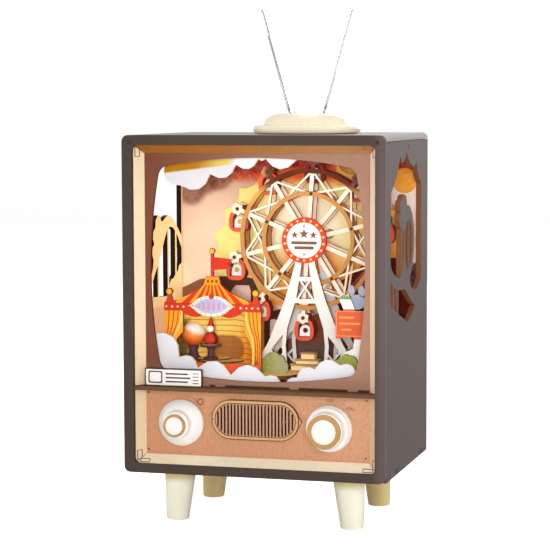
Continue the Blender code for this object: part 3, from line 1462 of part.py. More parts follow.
def build_tent_front():
    """The tent's facade: roof, cap, flag pole, valance, sign and tied-back curtains."""
    half = TENT_HALF_WIDTH
    (cap_low, cap_low_z), (cap_high, cap_high_z) = [
        (share * half, FLOOR_LINE + height * SCENE_HEIGHT) for share, height in TENT_CAP_SHARES
    ]
    roof = [(-half, TENT_EAVES), (half, TENT_EAVES)]
    roof += bend((half, TENT_EAVES), (0.45 * half, TENT_EAVES + 3.5), (cap_low, cap_low_z), 4)
    roof += [(-cap_low, cap_low_z)]
    roof += bend((-cap_low, cap_low_z), (-0.45 * half, TENT_EAVES + 3.5), (-half, TENT_EAVES), 4)[:-1]
    cap = [(-cap_low, cap_low_z - 0.5), (cap_low, cap_low_z - 0.5)]
    cap += [(cap_high, cap_high_z), (-cap_high, cap_high_z)]
    pole = box_outline(
        -TENT_POLE_WIDTH / 2, TENT_POLE_WIDTH / 2, cap_high_z - 1, TENT_POLE_TOP - 2
    )
    ball = circle((0, TENT_POLE_TOP - 1.6), 1.6, 10)
    far = TENT_FLAG_SHARES[0] * half
    flag_low, flag_high = (FLOOR_LINE + share * SCENE_HEIGHT for share in TENT_FLAG_SHARES[1:])
    flag = [(0, flag_low), (far, flag_low + 1.2), (far - 3, (flag_low + flag_high) / 2)]
    flag += [(far, flag_high - 1.2), (0, flag_high)]
    valance = box_outline(-half, half, TENT_VALANCE, TENT_EAVES + 0.5)
    pieces = [roof, cap, pole, ball, flag, valance]
    for side in (-1, 1):
        x = side * (half - TENT_FINIAL_INSET)
        spike = [(x - 2.4, TENT_EAVES - 0.5), (x + 2.4, TENT_EAVES - 0.5)]
        spike += [(x + 0.7, TENT_FINIAL_TOP - 2), (x - 0.7, TENT_FINIAL_TOP - 2)]
        pieces.append(spike)
        pieces.append(circle((x, TENT_FINIAL_TOP - 1), 2.0, 8))
    left, right = TENT_CURTAIN_SHARES
    tie = TENT_FLOOR + 0.6 * (TENT_VALANCE - TENT_FLOOR)
    gather = TENT_FLOOR + 0.47 * (TENT_VALANCE - TENT_FLOOR)
    for side, share in ((-1, left), (1, right)):
        width = share * half
        curtain = [(half, TENT_VALANCE + 1), (half, TENT_FLOOR - 2)]
        curtain += bend((half - 4, TENT_FLOOR - 2), (half - 5, gather), (half - width, tie), 3)
        curtain += [(half - width, TENT_VALANCE + 1)]
        pieces.append([(side * x, z) for x, z in curtain])
    skirt = [(-half, TENT_FLOOR + 0.5), (-half, TENT_FLOOR - TENT_SKIRT_DROP), (-half + 2, FLOOR_LINE)]
    skirt += [(half - 2, FLOOR_LINE), (half, TENT_FLOOR - TENT_SKIRT_DROP), (half, TENT_FLOOR + 0.5)]
    pieces.append(skirt)
    sign_w = TENT_SIGN_SHARES[0] * half
    sign_h = TENT_SIGN_SHARES[1] * SCENE_HEIGHT
    shoulder = (0.68 * sign_w, TENT_SIGN_HEIGHT + 0.5 * sign_h)
    crest = (0, TENT_SIGN_HEIGHT + sign_h)
    sign = [(sign_w, TENT_SIGN_HEIGHT)]
    sign += bend((sign_w, TENT_SIGN_HEIGHT), (0.84 * sign_w, TENT_SIGN_HEIGHT + 0.12 * sign_h), shoulder, 3)
    sign += bend(shoulder, (0.44 * sign_w, TENT_SIGN_HEIGHT + sign_h), crest, 4)
    sign += [(-x, z) for x, z in reversed(sign[:-1])]
    sign += [(x, 2 * TENT_SIGN_HEIGHT - z) for x, z in reversed(sign[1:-1])]
    pieces.append(sign)
    place = at(TENT_X, TENT_DEPTH + THIN_PLY / 2, 0)
    merged_plate("tent_front", pieces, [], THIN_PLY, "tent_orange", place)


def build_tent_back():
    """The tent's round stage floor, with its curved inner wall standing on it."""
    half = TENT_WALL_SHARE * TENT_HALF_WIDTH
    reach = TENT_WALL_REACH
    start = TENT_DEPTH + THIN_PLY + GAP
    steps = 12
    outer = [
        (half * math.cos(math.pi * i / steps), start + reach * math.sin(math.pi * i / steps))
        for i in range(steps + 1)
    ]
    inner = [
        (
            (half - THIN_PLY) * math.cos(math.pi * i / steps),
            start + (reach - THIN_PLY) * math.sin(math.pi * i / steps),
        )
        for i in range(steps, -1, -1)
    ]
    outer = moved(outer, TENT_X, 0)
    inner = moved(inner, TENT_X, 0)
    wall_height = TENT_WALL_TOP_SHARE * SCENE_HEIGHT
    wall = baked(floor_plate("tent_back_wall", [outer + inner], FLOOR_LINE, wall_height, "sun_yellow"))
    stage = baked(
        floor_plate("tent_stage", [outer], TENT_FLOOR - TENT_FLOOR_PLATE, TENT_FLOOR_PLATE, "sun_yellow")
    )
    joined(wall, stage)


# Backdrop and clouds

def build_backdrop():
    """The sky at the back, with a sun in front of it whose edge has hollow scallops."""
    edge = box_outline(-INNER_HALF, INNER_HALF, FLOOR_LINE, INNER_TOP)
    holes = [circle(WHEEL_CENTRE, AXLE_HOLE, 16), circle(IDLER_CENTRE, IDLER_HOLE, 16)]
    front_plate("sky_panel", [edge] + holes, SKY_DEPTH, THIN_PLY, "sky_peach")
    points = []
    radius = SUN_SHARE * INNER_HALF
    for i in range(SUN_POINTS):
        start = polar(radius, TURN * i / SUN_POINTS)
        end = polar(radius, TURN * (i + 1) / SUN_POINTS)
        hollow = polar(radius * (1 - SUN_HOLLOW_SHARE), TURN * (i + 0.5) / SUN_POINTS)
        points += bend(start, hollow, end, 4)
    sun = moved(points, *in_scene(SUN_PLACE))
    plates = [sun, circle(WHEEL_CENTRE, AXLE_HOLE, 16), circle(IDLER_CENTRE, IDLER_HOLE, 16)]
    front_plate("sun_panel", plates, SUN_DEPTH, THIN_PLY, "sun_yellow")




def lobe_line(points, steps=4):
    """A row of round cloud lobes whose ends meet at the given points."""
    line = [points[0]]
    for start, end in zip(points, points[1:]):
        middle = (Vector(start) + Vector(end)) / 2
        run = Vector(end) - Vector(start)
        out = Vector((run.y, -run.x)) * 0.62
        line += bend(start, tuple(middle + out), end, steps)
    return line


def in_scene(share):
    """A place on a plate of the scene, from shares of its half width and height."""
    return share[0] * INNER_HALF, FLOOR_LINE + share[1] * SCENE_HEIGHT


def build_clouds():
    """White cloud plates hung from the top of the scene and standing along its front."""
    far, near = CLOUD_TOP_ENDS
    top = lobe_line([in_scene(share) for share in CLOUD_TOP])
    top += [in_scene((near, 0.97)), in_scene((near, 1.0)), in_scene((far, 1.0))]
    front_plate("cloud_top", [top], CLOUD_DEPTH, THIN_PLY, "cloud_white")
    left = lobe_line([in_scene(share) for share in CLOUD_LEFT])
    left += [in_scene(CLOUD_LEFT_END), in_scene((CLOUD_LEFT_END[0], 0.0))]
    front_plate("cloud_left", [left], CLOUD_DEPTH, THIN_PLY, "cloud_white")
    right = lobe_line([in_scene(share) for share in CLOUD_RIGHT])
    front_plate("cloud_right", [right], CLOUD_DEPTH, THIN_PLY, "cloud_white")


def build_slide_banner():
    """A banner plate on the curved slide that runs down to the stage."""
    banner = [in_scene(share) for share in BANNER]
    slide = ribbon([in_scene(share) for share in SLIDE], SLIDE_WIDTH)
    slide = [(x, max(z, FLOOR_LINE)) for x, z in slide]
    near, far, top = SLIDE_POST
    post = box_outline(near * INNER_HALF, far * INNER_HALF, *(in_scene((0, z))[1] for z in (0, top)))
    near, far, top = SLIDE_FOOT
    foot = box_outline(near * INNER_HALF, far * INNER_HALF, *(in_scene((0, z))[1] for z in (0, top)))
    place = at(0, BANNER_DEPTH + THIN_PLY / 2, 0)
    merged_plate("slide_banner", [banner, slide, post, foot], [], THIN_PLY, "gondola_red", place)


# Gear train and spring movement

def build_idler():
    phase = TRAIN_ANGLE + math.pi + math.pi / IDLER_TEETH
    pitch = GEAR_MODULE * IDLER_TEETH / 2
    outlines = [gear_outline(IDLER_TEETH, phase)]
    outlines += gear_windows(pitch, 2.6 * GEAR_MODULE, 9.0, phase)
    middle = at(IDLER_CENTRE[0], GEAR_DEPTH + GEAR_THICKNESS / 2, IDLER_CENTRE[1])
    gear = baked(plate("idler_gear", outlines, GEAR_THICKNESS, "gear_wood", middle))
    front = SKY_DEPTH + GAP
    pin = rod(
        "idler_pin", IDLER_PIN_RADIUS, -AXLE_END, -front, 16, "gear_wood",
        at(IDLER_CENTRE[0], 0, IDLER_CENTRE[1]), AXIS_TO_FRONT,
    )
    joined(gear, pin)


def build_spring_barrel():
    """The spring's drum, with a crown of teeth on its front and the drive gear on its sleeve."""
    place = at(MOVEMENT_X, 0, MOVEMENT_HEIGHT)
    inner, outer = CROWN_RADII
    crown_front = BARREL_FRONT - CROWN_HEIGHT
    ring = [
        (outer, -crown_front),
        (outer, -(BARREL_FRONT + 1)),
        (inner, -(BARREL_FRONT + 1)),
        (inner, -crown_front),
    ]
    crown = baked(turned("crown_ring", ring, 48, "brass", place, AXIS_TO_FRONT))
    notch = CROWN_NOTCH_SHARE * TURN * CROWN_PITCH_RADIUS / CROWN_TEETH
    bars = []
    for i in range(CROWN_TEETH // 2):
        angle = math.pi * i / (CROWN_TEETH // 2)
        along = Vector(polar(2 * outer, angle))
        bars.append(strip(tuple(-along), tuple(along), notch))
    middle = at(MOVEMENT_X, crown_front + CROWN_HEIGHT / 2 - 0.25, MOVEMENT_HEIGHT)
    star = merged_plate("crown_notches", bars, [], CROWN_HEIGHT + 0.5, "brass", middle)
    cut(crown, star)
    bore = KEY_SHAFT_RADIUS + RUNNING_GAP
    bore_floor = BARREL_BACK - SLEEVE_BORE_DEPTH
    sleeve_end = GEAR_DEPTH + GEAR_THICKNESS + 0.5
    profile = [
        (0, -BARREL_FRONT),
        (BARREL_RADIUS - 0.5, -BARREL_FRONT),
        (BARREL_RADIUS, -(BARREL_FRONT + 0.5)),
        (BARREL_RADIUS, -(BARREL_BACK - 0.5)),
        (BARREL_RADIUS - 0.5, -BARREL_BACK),
        (SLEEVE_RADIUS, -BARREL_BACK),
        (SLEEVE_RADIUS, -sleeve_end),
        (bore, -sleeve_end),
        (bore, -bore_floor),
        (0, -bore_floor),
    ]
    barrel = baked(turned("spring_barrel", profile, 28, "brass", place, AXIS_TO_FRONT))
    gear_place = at(MOVEMENT_X, GEAR_DEPTH + GEAR_THICKNESS / 2, MOVEMENT_HEIGHT)
    outline = gear_outline(DRIVE_TEETH, TRAIN_ANGLE + math.pi)
    eye = circle((0, 0), (bore + SLEEVE_RADIUS) / 2, 16)
    gear = baked(plate("drive_gear", [outline, eye], GEAR_THICKNESS, "gear_wood", gear_place))
    joined(barrel, baked(crown), gear)


def build_pin_drum():
    """The pinned cylinder on its arbor, with the pinion that the crown turns."""
    start = DRUM_START
    end = start + DRUM_LENGTH
    place = at(MOVEMENT_X, DRUM_DEPTH, MOVEMENT_HEIGHT)
    governor_start = GOVERNOR[0]
    pinion_start = CROWN_PITCH_RADIUS - DRUM_PINION_WIDTH / 2
    profile = [
        (0, governor_start + 2),
        (ARBOR_RADIUS, governor_start + 2),
        (ARBOR_RADIUS, end),
        (DRUM_RADIUS - 0.4, end),
        (DRUM_RADIUS, end - 0.4),
        (DRUM_RADIUS, start + 0.4),
        (DRUM_RADIUS - 0.4, start),
        (ARBOR_RADIUS, start),
        (ARBOR_RADIUS, pinion_start - 0.6),
        (0, pinion_start - 0.6),
    ]
    drum = baked(turned("pin_drum", profile, 24, "brass", place, AXIS_TO_RIGHT))
    step = TURN * DRUM_PINION_RADIUS / DRUM_PINION_TEETH
    tip = DRUM_PINION_RADIUS + 0.26 * step
    root = DRUM_PINION_RADIUS - 0.36 * step
    outline = []
    for tooth in range(DRUM_PINION_TEETH):
        centre = TURN * tooth / DRUM_PINION_TEETH
        for radius, share in ((root, -0.2), (tip, -0.09), (tip, 0.09), (root, 0.2)):
            outline.append(polar(radius, centre + share * TURN / DRUM_PINION_TEETH))
    pinion = baked(
        plate(
            "drum_pinion", [outline], DRUM_PINION_WIDTH, "brass",
            at(MOVEMENT_X + CROWN_PITCH_RADIUS, DRUM_DEPTH, MOVEMENT_HEIGHT), FACING_SIDE,
        )
    )
    joined(drum, pinion)


def build_movement_frame():
    """The bedplate with the drum's bearing, the closed governor housing and the comb's block."""
    left, right, low, high = BEDPLATE
    x0, z0 = MOVEMENT_CENTRE
    edge = rounded_box(x0 + left, x0 + right, z0 + low, z0 + high, 2.5, 3)
    bore = circle(MOVEMENT_CENTRE, SLEEVE_RADIUS + RUNNING_GAP, 20)
    frame = baked(
        front_plate("movement_frame", [edge, bore], BEDPLATE_FRONT, BEDPLATE_THICKNESS, "steel")
    )
    sink = BEDPLATE_THICKNESS / 2
    back = BEDPLATE_FRONT + sink
    drum_front = DRUM_DEPTH - 3.5
    bearing_hole = circle((DRUM_DEPTH, z0), ARBOR_RADIUS + RUNNING_GAP, 12)
    bearing_edge = rounded_box(
        drum_front, back, z0 - BEARING_HALF_HEIGHT, z0 + BEARING_HALF_HEIGHT, 1.5, 2,
    )
    bearing = baked(
        side_plate("drum_bearing", [bearing_edge, bearing_hole],
                   x0 + BEARING_START + BEARING_WIDTH / 2, BEARING_WIDTH, "steel")
    )
    near, far, low, high = GOVERNOR
    housing_edge = rounded_box(GOVERNOR_FRONT, back, z0 + low, z0 + high, 2.0, 3)
    housing = baked(
        side_plate("governor_housing", [housing_edge], x0 + (near + far) / 2, far - near, "steel")
    )
    pocket = rod(
        "governor_pocket", ARBOR_RADIUS + RUNNING_GAP, near - 1, near + 2.5, 12, "steel",
        at(x0, DRUM_DEPTH, z0), AXIS_TO_RIGHT,
    )
    cut(housing, pocket)
    comb_low = z0 + DRUM_RADIUS + COMB_TIP_GAP + COMB_HEIGHT - COMB_BAR
    comb_high = comb_low + COMB_BAR
    comb_back = DRUM_DEPTH + COMB_THICKNESS / 2 + GAP
    block_edge = box_outline(comb_back, back, comb_low, comb_high)
    block_middle = x0 + DRUM_START + DRUM_LENGTH / 2
    comb_block = baked(
        side_plate("comb_block", [block_edge], block_middle, DRUM_LENGTH, "steel")
    )
    joined(frame, bearing, baked(housing), comb_block)


def build_music_comb():
    """The steel comb: one bar with a tooth for each note, their tips close to the drum."""
    pitch = DRUM_LENGTH / COMB_TEETH
    tip = DRUM_RADIUS + COMB_TIP_GAP
    root = tip + COMB_HEIGHT - COMB_BAR - 0.8
    top = tip + COMB_HEIGHT
    start = DRUM_START
    end = start + DRUM_LENGTH
    edge = [(end, top), (start, top)]
    for tooth in range(COMB_TEETH):
        left = start + pitch * tooth
        edge += [(left + 0.12, root), (left + 0.12, tip), (left + pitch - 0.25, tip)]
        edge += [(left + pitch - 0.25, root)]
    place = at(MOVEMENT_X, DRUM_DEPTH, MOVEMENT_HEIGHT)
    plate("music_comb", [edge], COMB_THICKNESS, "steel", place)


def build_winding_key():
    """A butterfly key on the spring's inner arbor, behind the back panel."""
    wing, height = KEY_WING
    start = CASE_DEPTH + KEY_REACH - height
    end = CASE_DEPTH + KEY_REACH
    inner = BARREL_BACK - SLEEVE_BORE_DEPTH + 0.5
    place = at(MOVEMENT_X, 0, MOVEMENT_HEIGHT)
    shaft = baked(
        rod("winding_key", KEY_SHAFT_RADIUS, -(start + 2), -inner, 16, "brass", place, AXIS_TO_FRONT)
    )
    middle = (start + end) / 2
    lobe = height / 2
    right = arc((wing - lobe, middle), lobe, -math.pi / 2, math.pi / 2, 6)
    waist = 1.2
    half = [(waist, start + waist)] + right + [(waist, end - waist)]
    edge = moved(half + [(-x, y) for x, y in reversed(half)], MOVEMENT_X, 0)
    eyes = [
        circle((MOVEMENT_X + side * (wing - lobe), middle), lobe - 2.4, 8) for side in (-1, 1)
    ]
    low = MOVEMENT_HEIGHT - KEY_THICKNESS / 2
    wings = baked(floor_plate("key_wings", [edge] + eyes, low, KEY_THICKNESS, "brass"))
    joined(shaft, wings)


def build_battery_box():
    width, length, height = BATTERY_BOX_SIZE
    left = -INNER_HALF + BATTERY_BOX_INSET
    base = PLY + GAP
    place = at(left + width / 2, BATTERY_BOX_DEPTH + length / 2, base + height / 2)
    soften(block("battery_box", BATTERY_BOX_SIZE, "black_plastic", place), 1.2)


clear_scene()
parts = new_collection("music_box")
tools = new_collection("cutters")

build_front_frame()
build_top_panel()
build_bottom_panel()
build_side_panels()
build_back_panel()
build_bezel()
build_mask()
build_shelf()
build_control_panel()
build_speaker_grille()
build_knobs()
build_light_switch()
build_stop_lever()
build_feet()
build_antenna_base()
build_antennas()
build_wheel_plate("wheel_front", WHEEL_FRONT_DEPTH, posts=False)
build_wheel_plate("wheel_rear", WHEEL_REAR_DEPTH, posts=True)
build_wheel_axle()
build_hub_sign()
build_gondolas()
build_towers()
build_tent_front()
build_tent_back()
build_backdrop()
build_clouds()
build_slide_banner()
build_idler()
build_spring_barrel()
build_pin_drum()
build_movement_frame()
build_music_comb()
build_winding_key()
build_battery_box()
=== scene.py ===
"""Looks of a wooden music box shaped like an old television set.

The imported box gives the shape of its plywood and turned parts. This script gives them their
finishes and adds the small trim: turned knobs and feet, nails and bolts, printed marks, the signs
of the hub and the tent, curtain folds, toys, bushes, steps, balloons, the flat buildings in front
of the backdrop, and the lamps.

Flat and turned shapes are modelled in millimetres as (x, depth, height): x to the right of the
case's middle, depth behind its front, and height above its underside.
"""

import math

import bmesh
import bpy
from mathutils import Matrix, Vector


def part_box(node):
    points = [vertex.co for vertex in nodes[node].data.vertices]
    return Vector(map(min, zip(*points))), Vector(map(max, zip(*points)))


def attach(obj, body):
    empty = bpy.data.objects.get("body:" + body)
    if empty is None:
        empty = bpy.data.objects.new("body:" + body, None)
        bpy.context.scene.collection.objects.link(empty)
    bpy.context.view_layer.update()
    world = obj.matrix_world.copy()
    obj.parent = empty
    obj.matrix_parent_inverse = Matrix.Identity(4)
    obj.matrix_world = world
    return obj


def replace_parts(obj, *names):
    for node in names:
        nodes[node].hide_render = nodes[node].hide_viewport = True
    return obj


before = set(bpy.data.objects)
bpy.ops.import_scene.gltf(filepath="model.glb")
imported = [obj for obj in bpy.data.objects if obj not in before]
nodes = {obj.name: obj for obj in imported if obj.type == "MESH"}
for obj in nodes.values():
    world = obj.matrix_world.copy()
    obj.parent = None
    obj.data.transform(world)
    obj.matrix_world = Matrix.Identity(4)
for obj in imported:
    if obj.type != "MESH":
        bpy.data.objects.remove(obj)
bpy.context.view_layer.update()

MM = 0.001
TURN = 2 * math.pi
CASE_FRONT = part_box("front_frame")[0].y / MM
CASE_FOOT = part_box("front_frame")[0].z / MM
TO_FRONT = Matrix.Rotation(math.pi / 2, 4, "X")
LYING_FLAT = Matrix.Identity(4)
FROM_MM = Matrix.Translation((0, CASE_FRONT * MM, CASE_FOOT * MM)) @ Matrix.Scale(MM, 4)
MERGE_DISTANCE = 0.002
BACKWARDS = (0.0, 1.0, 0.0)
UPWARDS = (0.0, 0.0, 1.0)
DOWNWARDS = (0.0, 0.0, -1.0)
RIGHTWARDS = (1.0, 0.0, 0.0)
LEFTWARDS = (-1.0, 0.0, 0.0)
FROM_MIDDLE = -1.0


def box_end(node_name, which):
    """One end of a part's box as (x, depth, height) in millimetres."""
    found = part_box(node_name)[which] / MM
    return Vector((found.x, found.y - CASE_FRONT, found.z - CASE_FOOT))


def low(node_name):
    return box_end(node_name, 0)


def high(node_name):
    return box_end(node_name, 1)


def middle(node_name):
    return (low(node_name) + high(node_name)) / 2


def srgb(red, green, blue):
    """A colour as it is seen, 0 to 255, as the linear colour that a shader takes."""
    values = []
    for part in (red, green, blue):
        share = part / 255
        if share <= 0.04045:
            values.append(share / 12.92)
        else:
            values.append(((share + 0.055) / 1.055) ** 2.4)
    return (*values, 1.0)


def tinted(colour, share):
    """A colour made darker or paler by a share, but never quite white."""
    return tuple(min(share * part, 250) for part in colour)


# Flat outlines


def around(centre, radius, degrees):
    """The point on a circle at an angle."""
    angle = math.radians(degrees)
    return (centre[0] + radius * math.cos(angle), centre[1] + radius * math.sin(angle))


def arc(centre, radius, start, end, steps):
    """Points on part of a circle, angles in degrees."""
    return [around(centre, radius, start + (end - start) * i / steps) for i in range(steps + 1)]


def circle(centre, radius, steps=32):
    return arc(centre, radius, 0, 360, steps)[:-1]


def rectangle(left, right, bottom, top):
    return [(left, bottom), (right, bottom), (right, top), (left, top)]


def rounded(left, right, bottom, top, radius, steps=5):
    points = arc((left + radius, bottom + radius), radius, 180, 270, steps)
    points += arc((right - radius, bottom + radius), radius, 270, 360, steps)
    points += arc((right - radius, top - radius), radius, 0, 90, steps)
    points += arc((left + radius, top - radius), radius, 90, 180, steps)
    return points


def bend(start, control, end, steps=8):
    """Points on a curve from start to end that is drawn towards the control point."""
    points = []
    for i in range(steps + 1):
        t = i / steps
        a, b, c = (1 - t) ** 2, 2 * t * (1 - t), t * t
        points.append(tuple(a * s + b * m + c * e for s, m, e in zip(start, control, end)))
    return points


def band(points, width):
    """The outline of a strip of one width along a line of points."""
    left, right = [], []
    for i, point in enumerate(points):
        before = Vector(points[max(i - 1, 0)])
        after = Vector(points[min(i + 1, len(points) - 1)])
        run = (after - before).normalized()
        side = Vector((-run.y, run.x)) * width / 2
        left.append(tuple(Vector(point) + side))
        right.append(tuple(Vector(point) - side))
    return left + right[::-1]


def star(radius, points=5, share=0.42):
    """A star's outline about (0, 0)."""
    reaches = (radius, radius * share)
    return [around((0, 0), reaches[i % 2], 90 + 180 * i / points) for i in range(2 * points)]


def lens(half_width, half_height, steps=10):
    """A pointed oval about (0, 0)."""
    shoulder = (0.68 * half_width, 0.5 * half_height)
    top = bend((half_width, 0), (0.84 * half_width, 0.12 * half_height), shoulder, steps // 2)
    top += bend(shoulder, (0.44 * half_width, half_height), (0, half_height), steps // 2)[1:]
    top += [(-x, z) for x, z in reversed(top[:-1])]
    return top + [(x, -z) for x, z in reversed(top[1:-1])]


def shifted(points, x, height):
    return [(px + x, pz + height) for px, pz in points]


# Making shapes and pieces


def placed(name, data):
    """A new object in the scene."""
    made = bpy.data.objects.new(name, data)
    bpy.context.scene.collection.objects.link(made)
    return made


def mesh_object(name, shape, material):
    mesh = bpy.data.meshes.new(name)
    shape.to_mesh(mesh)
    shape.free()
    mesh.materials.append(material)
    return placed(name, mesh)


def joined(shapes):
    """One shape from several."""
    whole = shapes[0]
    for other in shapes[1:]:
        mesh = bpy.data.meshes.new("joined")
        other.to_mesh(mesh)
        whole.from_mesh(mesh)
        other.free()
        bpy.data.meshes.remove(mesh)
    return whole


def piece(name, shapes, material, body="case"):
    """Bring one or several shapes into the scene, in metres, riding on a body of the box."""
    shape = joined(shapes) if isinstance(shapes, list) else shapes
    bmesh.ops.transform(shape, matrix=FROM_MM, verts=shape.verts)
    made = mesh_object(name, shape, material)
    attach(made, body)
    return made


def smooth(shape, angle=40):
    """Round shading everywhere but over edges sharper than the angle."""
    limit = math.radians(angle)
    for face in shape.faces:
        face.smooth = True
    for edge in shape.edges:
        edge.smooth = edge.calc_face_angle(0) < limit
    return shape


def from_curve(data, merge=MERGE_DISTANCE):
    """The shape of a curve or of letters, with its doubled points merged."""
    carrier = bpy.data.objects.new(data.name, data)
    mesh = bpy.data.meshes.new_from_object(carrier)
    shape = bmesh.new()
    shape.from_mesh(mesh)
    bmesh.ops.remove_doubles(shape, verts=shape.verts, dist=merge)
    bpy.data.objects.remove(carrier)
    bpy.data.curves.remove(data)
    bpy.data.meshes.remove(mesh)
    return shape


def filled(outlines, thickness, bevel=0.0):
    """A flat shape of some thickness about its own middle, with its holes."""
    data = bpy.data.curves.new("outline", "CURVE")
    data.dimensions = "2D"
    data.fill_mode = "BOTH"
    data.extrude = thickness / 2 - bevel
    data.bevel_depth = bevel
    data.bevel_resolution = 1
    data.offset = -bevel
    for outline in outlines:
        spline = data.splines.new("POLY")
        spline.points.add(len(outline) - 1)
        for point, (x, y) in zip(spline.points, outline):
            point.co = (x, y, 0, 1)
        spline.use_cyclic_u = True
    shape = from_curve(data)
    bmesh.ops.recalc_face_normals(shape, faces=shape.faces)
    return shape


def moved(shape, place, turn=LYING_FLAT):
    bmesh.ops.transform(shape, matrix=Matrix.Translation(place) @ turn, verts=shape.verts)
    return shape


def front_shape(outlines, thickness, depth, bevel=0.0, x=0.0, height=0.0):
    """A flat shape that faces the front, with its middle at the given depth."""
    return moved(filled(outlines, thickness, bevel), (x, depth, height), TO_FRONT)


def front_plate(name, outlines, depth, thickness, material, bevel=0.0):
    """A plate that faces the front, with its front face at the given depth."""
    shape = front_shape(outlines, thickness, depth + thickness / 2, bevel)
    return piece(name, shape, material)


def turned_shape(profile, steps=64):
    """A shape turned about its own upright axis from points of (radius, place along the axis)."""
    shape = bmesh.new()
    line = [shape.verts.new((radius, 0, along)) for radius, along in profile]
    edges = [shape.edges.new(pair) for pair in zip(line, line[1:])]
    bmesh.ops.spin(
        shape, geom=line + edges, axis=(0, 0, 1), cent=(0, 0, 0), dvec=(0, 0, 0),
        angle=TURN, steps=steps, use_merge=True, use_duplicate=False,
    )
    bmesh.ops.remove_doubles(shape, verts=shape.verts, dist=MERGE_DISTANCE)
    bmesh.ops.recalc_face_normals(shape, faces=shape.faces)
    return smooth(shape)


def front_turned(profile, steps, x, depth, height):
    """A turned shape whose axis looks to the front."""
    return moved(turned_shape(profile, steps), (x, depth, height), TO_FRONT)


def standing(profile, steps, spot, foot_height):
    """A turned shape that stands on a spot of (x, depth)."""
    return moved(turned_shape(profile, steps), (*spot, foot_height))


def block(left, right, near, far, bottom, top, bevel=0.2):
    """A box with softened edges."""
    shape = bmesh.new()
    bmesh.ops.create_cube(shape, size=1)
    size = Vector((right - left, far - near, top - bottom))
    bmesh.ops.scale(shape, vec=size, verts=shape.verts)
    bmesh.ops.bevel(
        shape, geom=shape.edges, offset=bevel, offset_type="OFFSET", segments=2,
        profile=0.5, affect="EDGES", material=-1,
    )
    place = Vector((left + right, near + far, bottom + top)) / 2
    return moved(shape, place)


def ball(place, radius, steps=24):
    shape = bmesh.new()
    bmesh.ops.create_uvsphere(shape, u_segments=steps, v_segments=steps // 2, radius=radius)
    return moved(smooth(shape), place)


# Node building


def link(tree, value, socket):
    """Join an output to a socket, or set the socket to a plain value."""
    if isinstance(value, bpy.types.NodeSocket):
        tree.links.new(value, socket)
    else:
        socket.default_value = value


def node(tree, kind, *values, **settings):
    """A new shader node with its settings, and a value or link for each input in turn."""
    made = tree.nodes.new("ShaderNode" + kind)
    for key, value in settings.items():
        setattr(made, key, value)
    for socket, value in zip(made.inputs, values):
        if value is not None:
            link(tree, value, socket)
    return made


def maths(tree, operation, *values):
    return node(tree, "Math", *values, operation=operation).outputs[0]


def plus(tree, one, other):
    return maths(tree, "ADD", one, other)


def minus(tree, one, other):
    return maths(tree, "SUBTRACT", one, other)


def times(tree, one, other):
    return maths(tree, "MULTIPLY", one, other)


def vectors(tree, operation, *values):
    return node(tree, "VectorMath", *values, operation=operation).outputs[0]


def dot(tree, one, other):
    return node(tree, "VectorMath", one, other, operation="DOT_PRODUCT").outputs["Value"]


def noise(tree, spot, scale, detail, roughness):
    return node(tree, "TexNoise", spot, None, scale, detail, roughness).outputs


def eased(tree, value, start, end):
    """0 below start and 1 above end, with a soft step between them."""
    step = node(tree, "MapRange", value, start, end, 0.0, 1.0, interpolation_type="SMOOTHSTEP")
    return step.outputs[0]


def soft_step(tree, value, softness):
    """0 below zero and 1 above it, with a soft step of the given width between them."""
    return eased(tree, value, times(tree, softness, -0.5), times(tree, softness, 0.5))


def blended(tree, mask, below, above):
    """One colour with another laid over it where the mask is."""
    mix = tree.nodes.new("ShaderNodeMix")
    mix.data_type = "RGBA"
    link(tree, mask, mix.inputs["Factor"])
    link(tree, below, mix.inputs[6])
    link(tree, above, mix.inputs[7])
    return mix.outputs[2]


def place_in_mm(tree):
    """The point of the piece as (x, depth, height) in millimetres."""
    spot = node(tree, "TexCoord").outputs["Object"]
    corner = (0.0, -CASE_FRONT * MM, -CASE_FOOT * MM)
    scaled = node(tree, "VectorMath", vectors(tree, "ADD", spot, corner), operation="SCALE")
    scaled.inputs["Scale"].default_value = 1 / MM
    return scaled.outputs[0]


def axes(tree, vector):
    return node(tree, "SeparateXYZ", vector).outputs


def spelled(label):
    """A socket's label from the name that the script gives it."""
    return label.replace("_", " ").title()


def new_group(name, outputs, **inputs):
    """A node group whose inputs start at the given numbers or vectors; its outputs are numbers."""
    tree = bpy.data.node_groups.new(name, "ShaderNodeTree")
    for label, value in inputs.items():
        kind = "NodeSocketVector" if isinstance(value, tuple) else "NodeSocketFloat"
        socket = tree.interface.new_socket(spelled(label), in_out="INPUT", socket_type=kind)
        socket.default_value = value
    for label in outputs:
        tree.interface.new_socket(label, in_out="OUTPUT", socket_type="NodeSocketFloat")
    start = tree.nodes.new("NodeGroupInput")
    end = tree.nodes.new("NodeGroupOutput")
    return tree, start.outputs, end.inputs


# Effects that several finishes share

MASK = ("Mask",)
TEXTURE = ("Tone", "Height")
TURNED_AWAY = 0.5
FACING_IT = 0.75


def looks_along(tree, size):
    """1 where the cosine between a face and a direction is near 1, 0 where it is small."""
    return eased(tree, size, TURNED_AWAY, FACING_IT)


def group_cut_edge():
    """Dark laser-cut edges: faces that don't look along the plate's own direction."""
    tree, given, out = new_group("laser cut edge", MASK, facing=BACKWARDS)
    along = dot(tree, node(tree, "TexCoord").outputs["Normal"], given["Facing"])
    flat = looks_along(tree, maths(tree, "ABSOLUTE", along))
    link(tree, minus(tree, 1.0, flat), out["Mask"])


def group_facing():
    """Only the faces that look in one direction."""
    tree, given, out = new_group("facing", MASK, direction=UPWARDS)
    along = dot(tree, node(tree, "TexCoord").outputs["Normal"], given["Direction"])
    link(tree, looks_along(tree, along), out["Mask"])


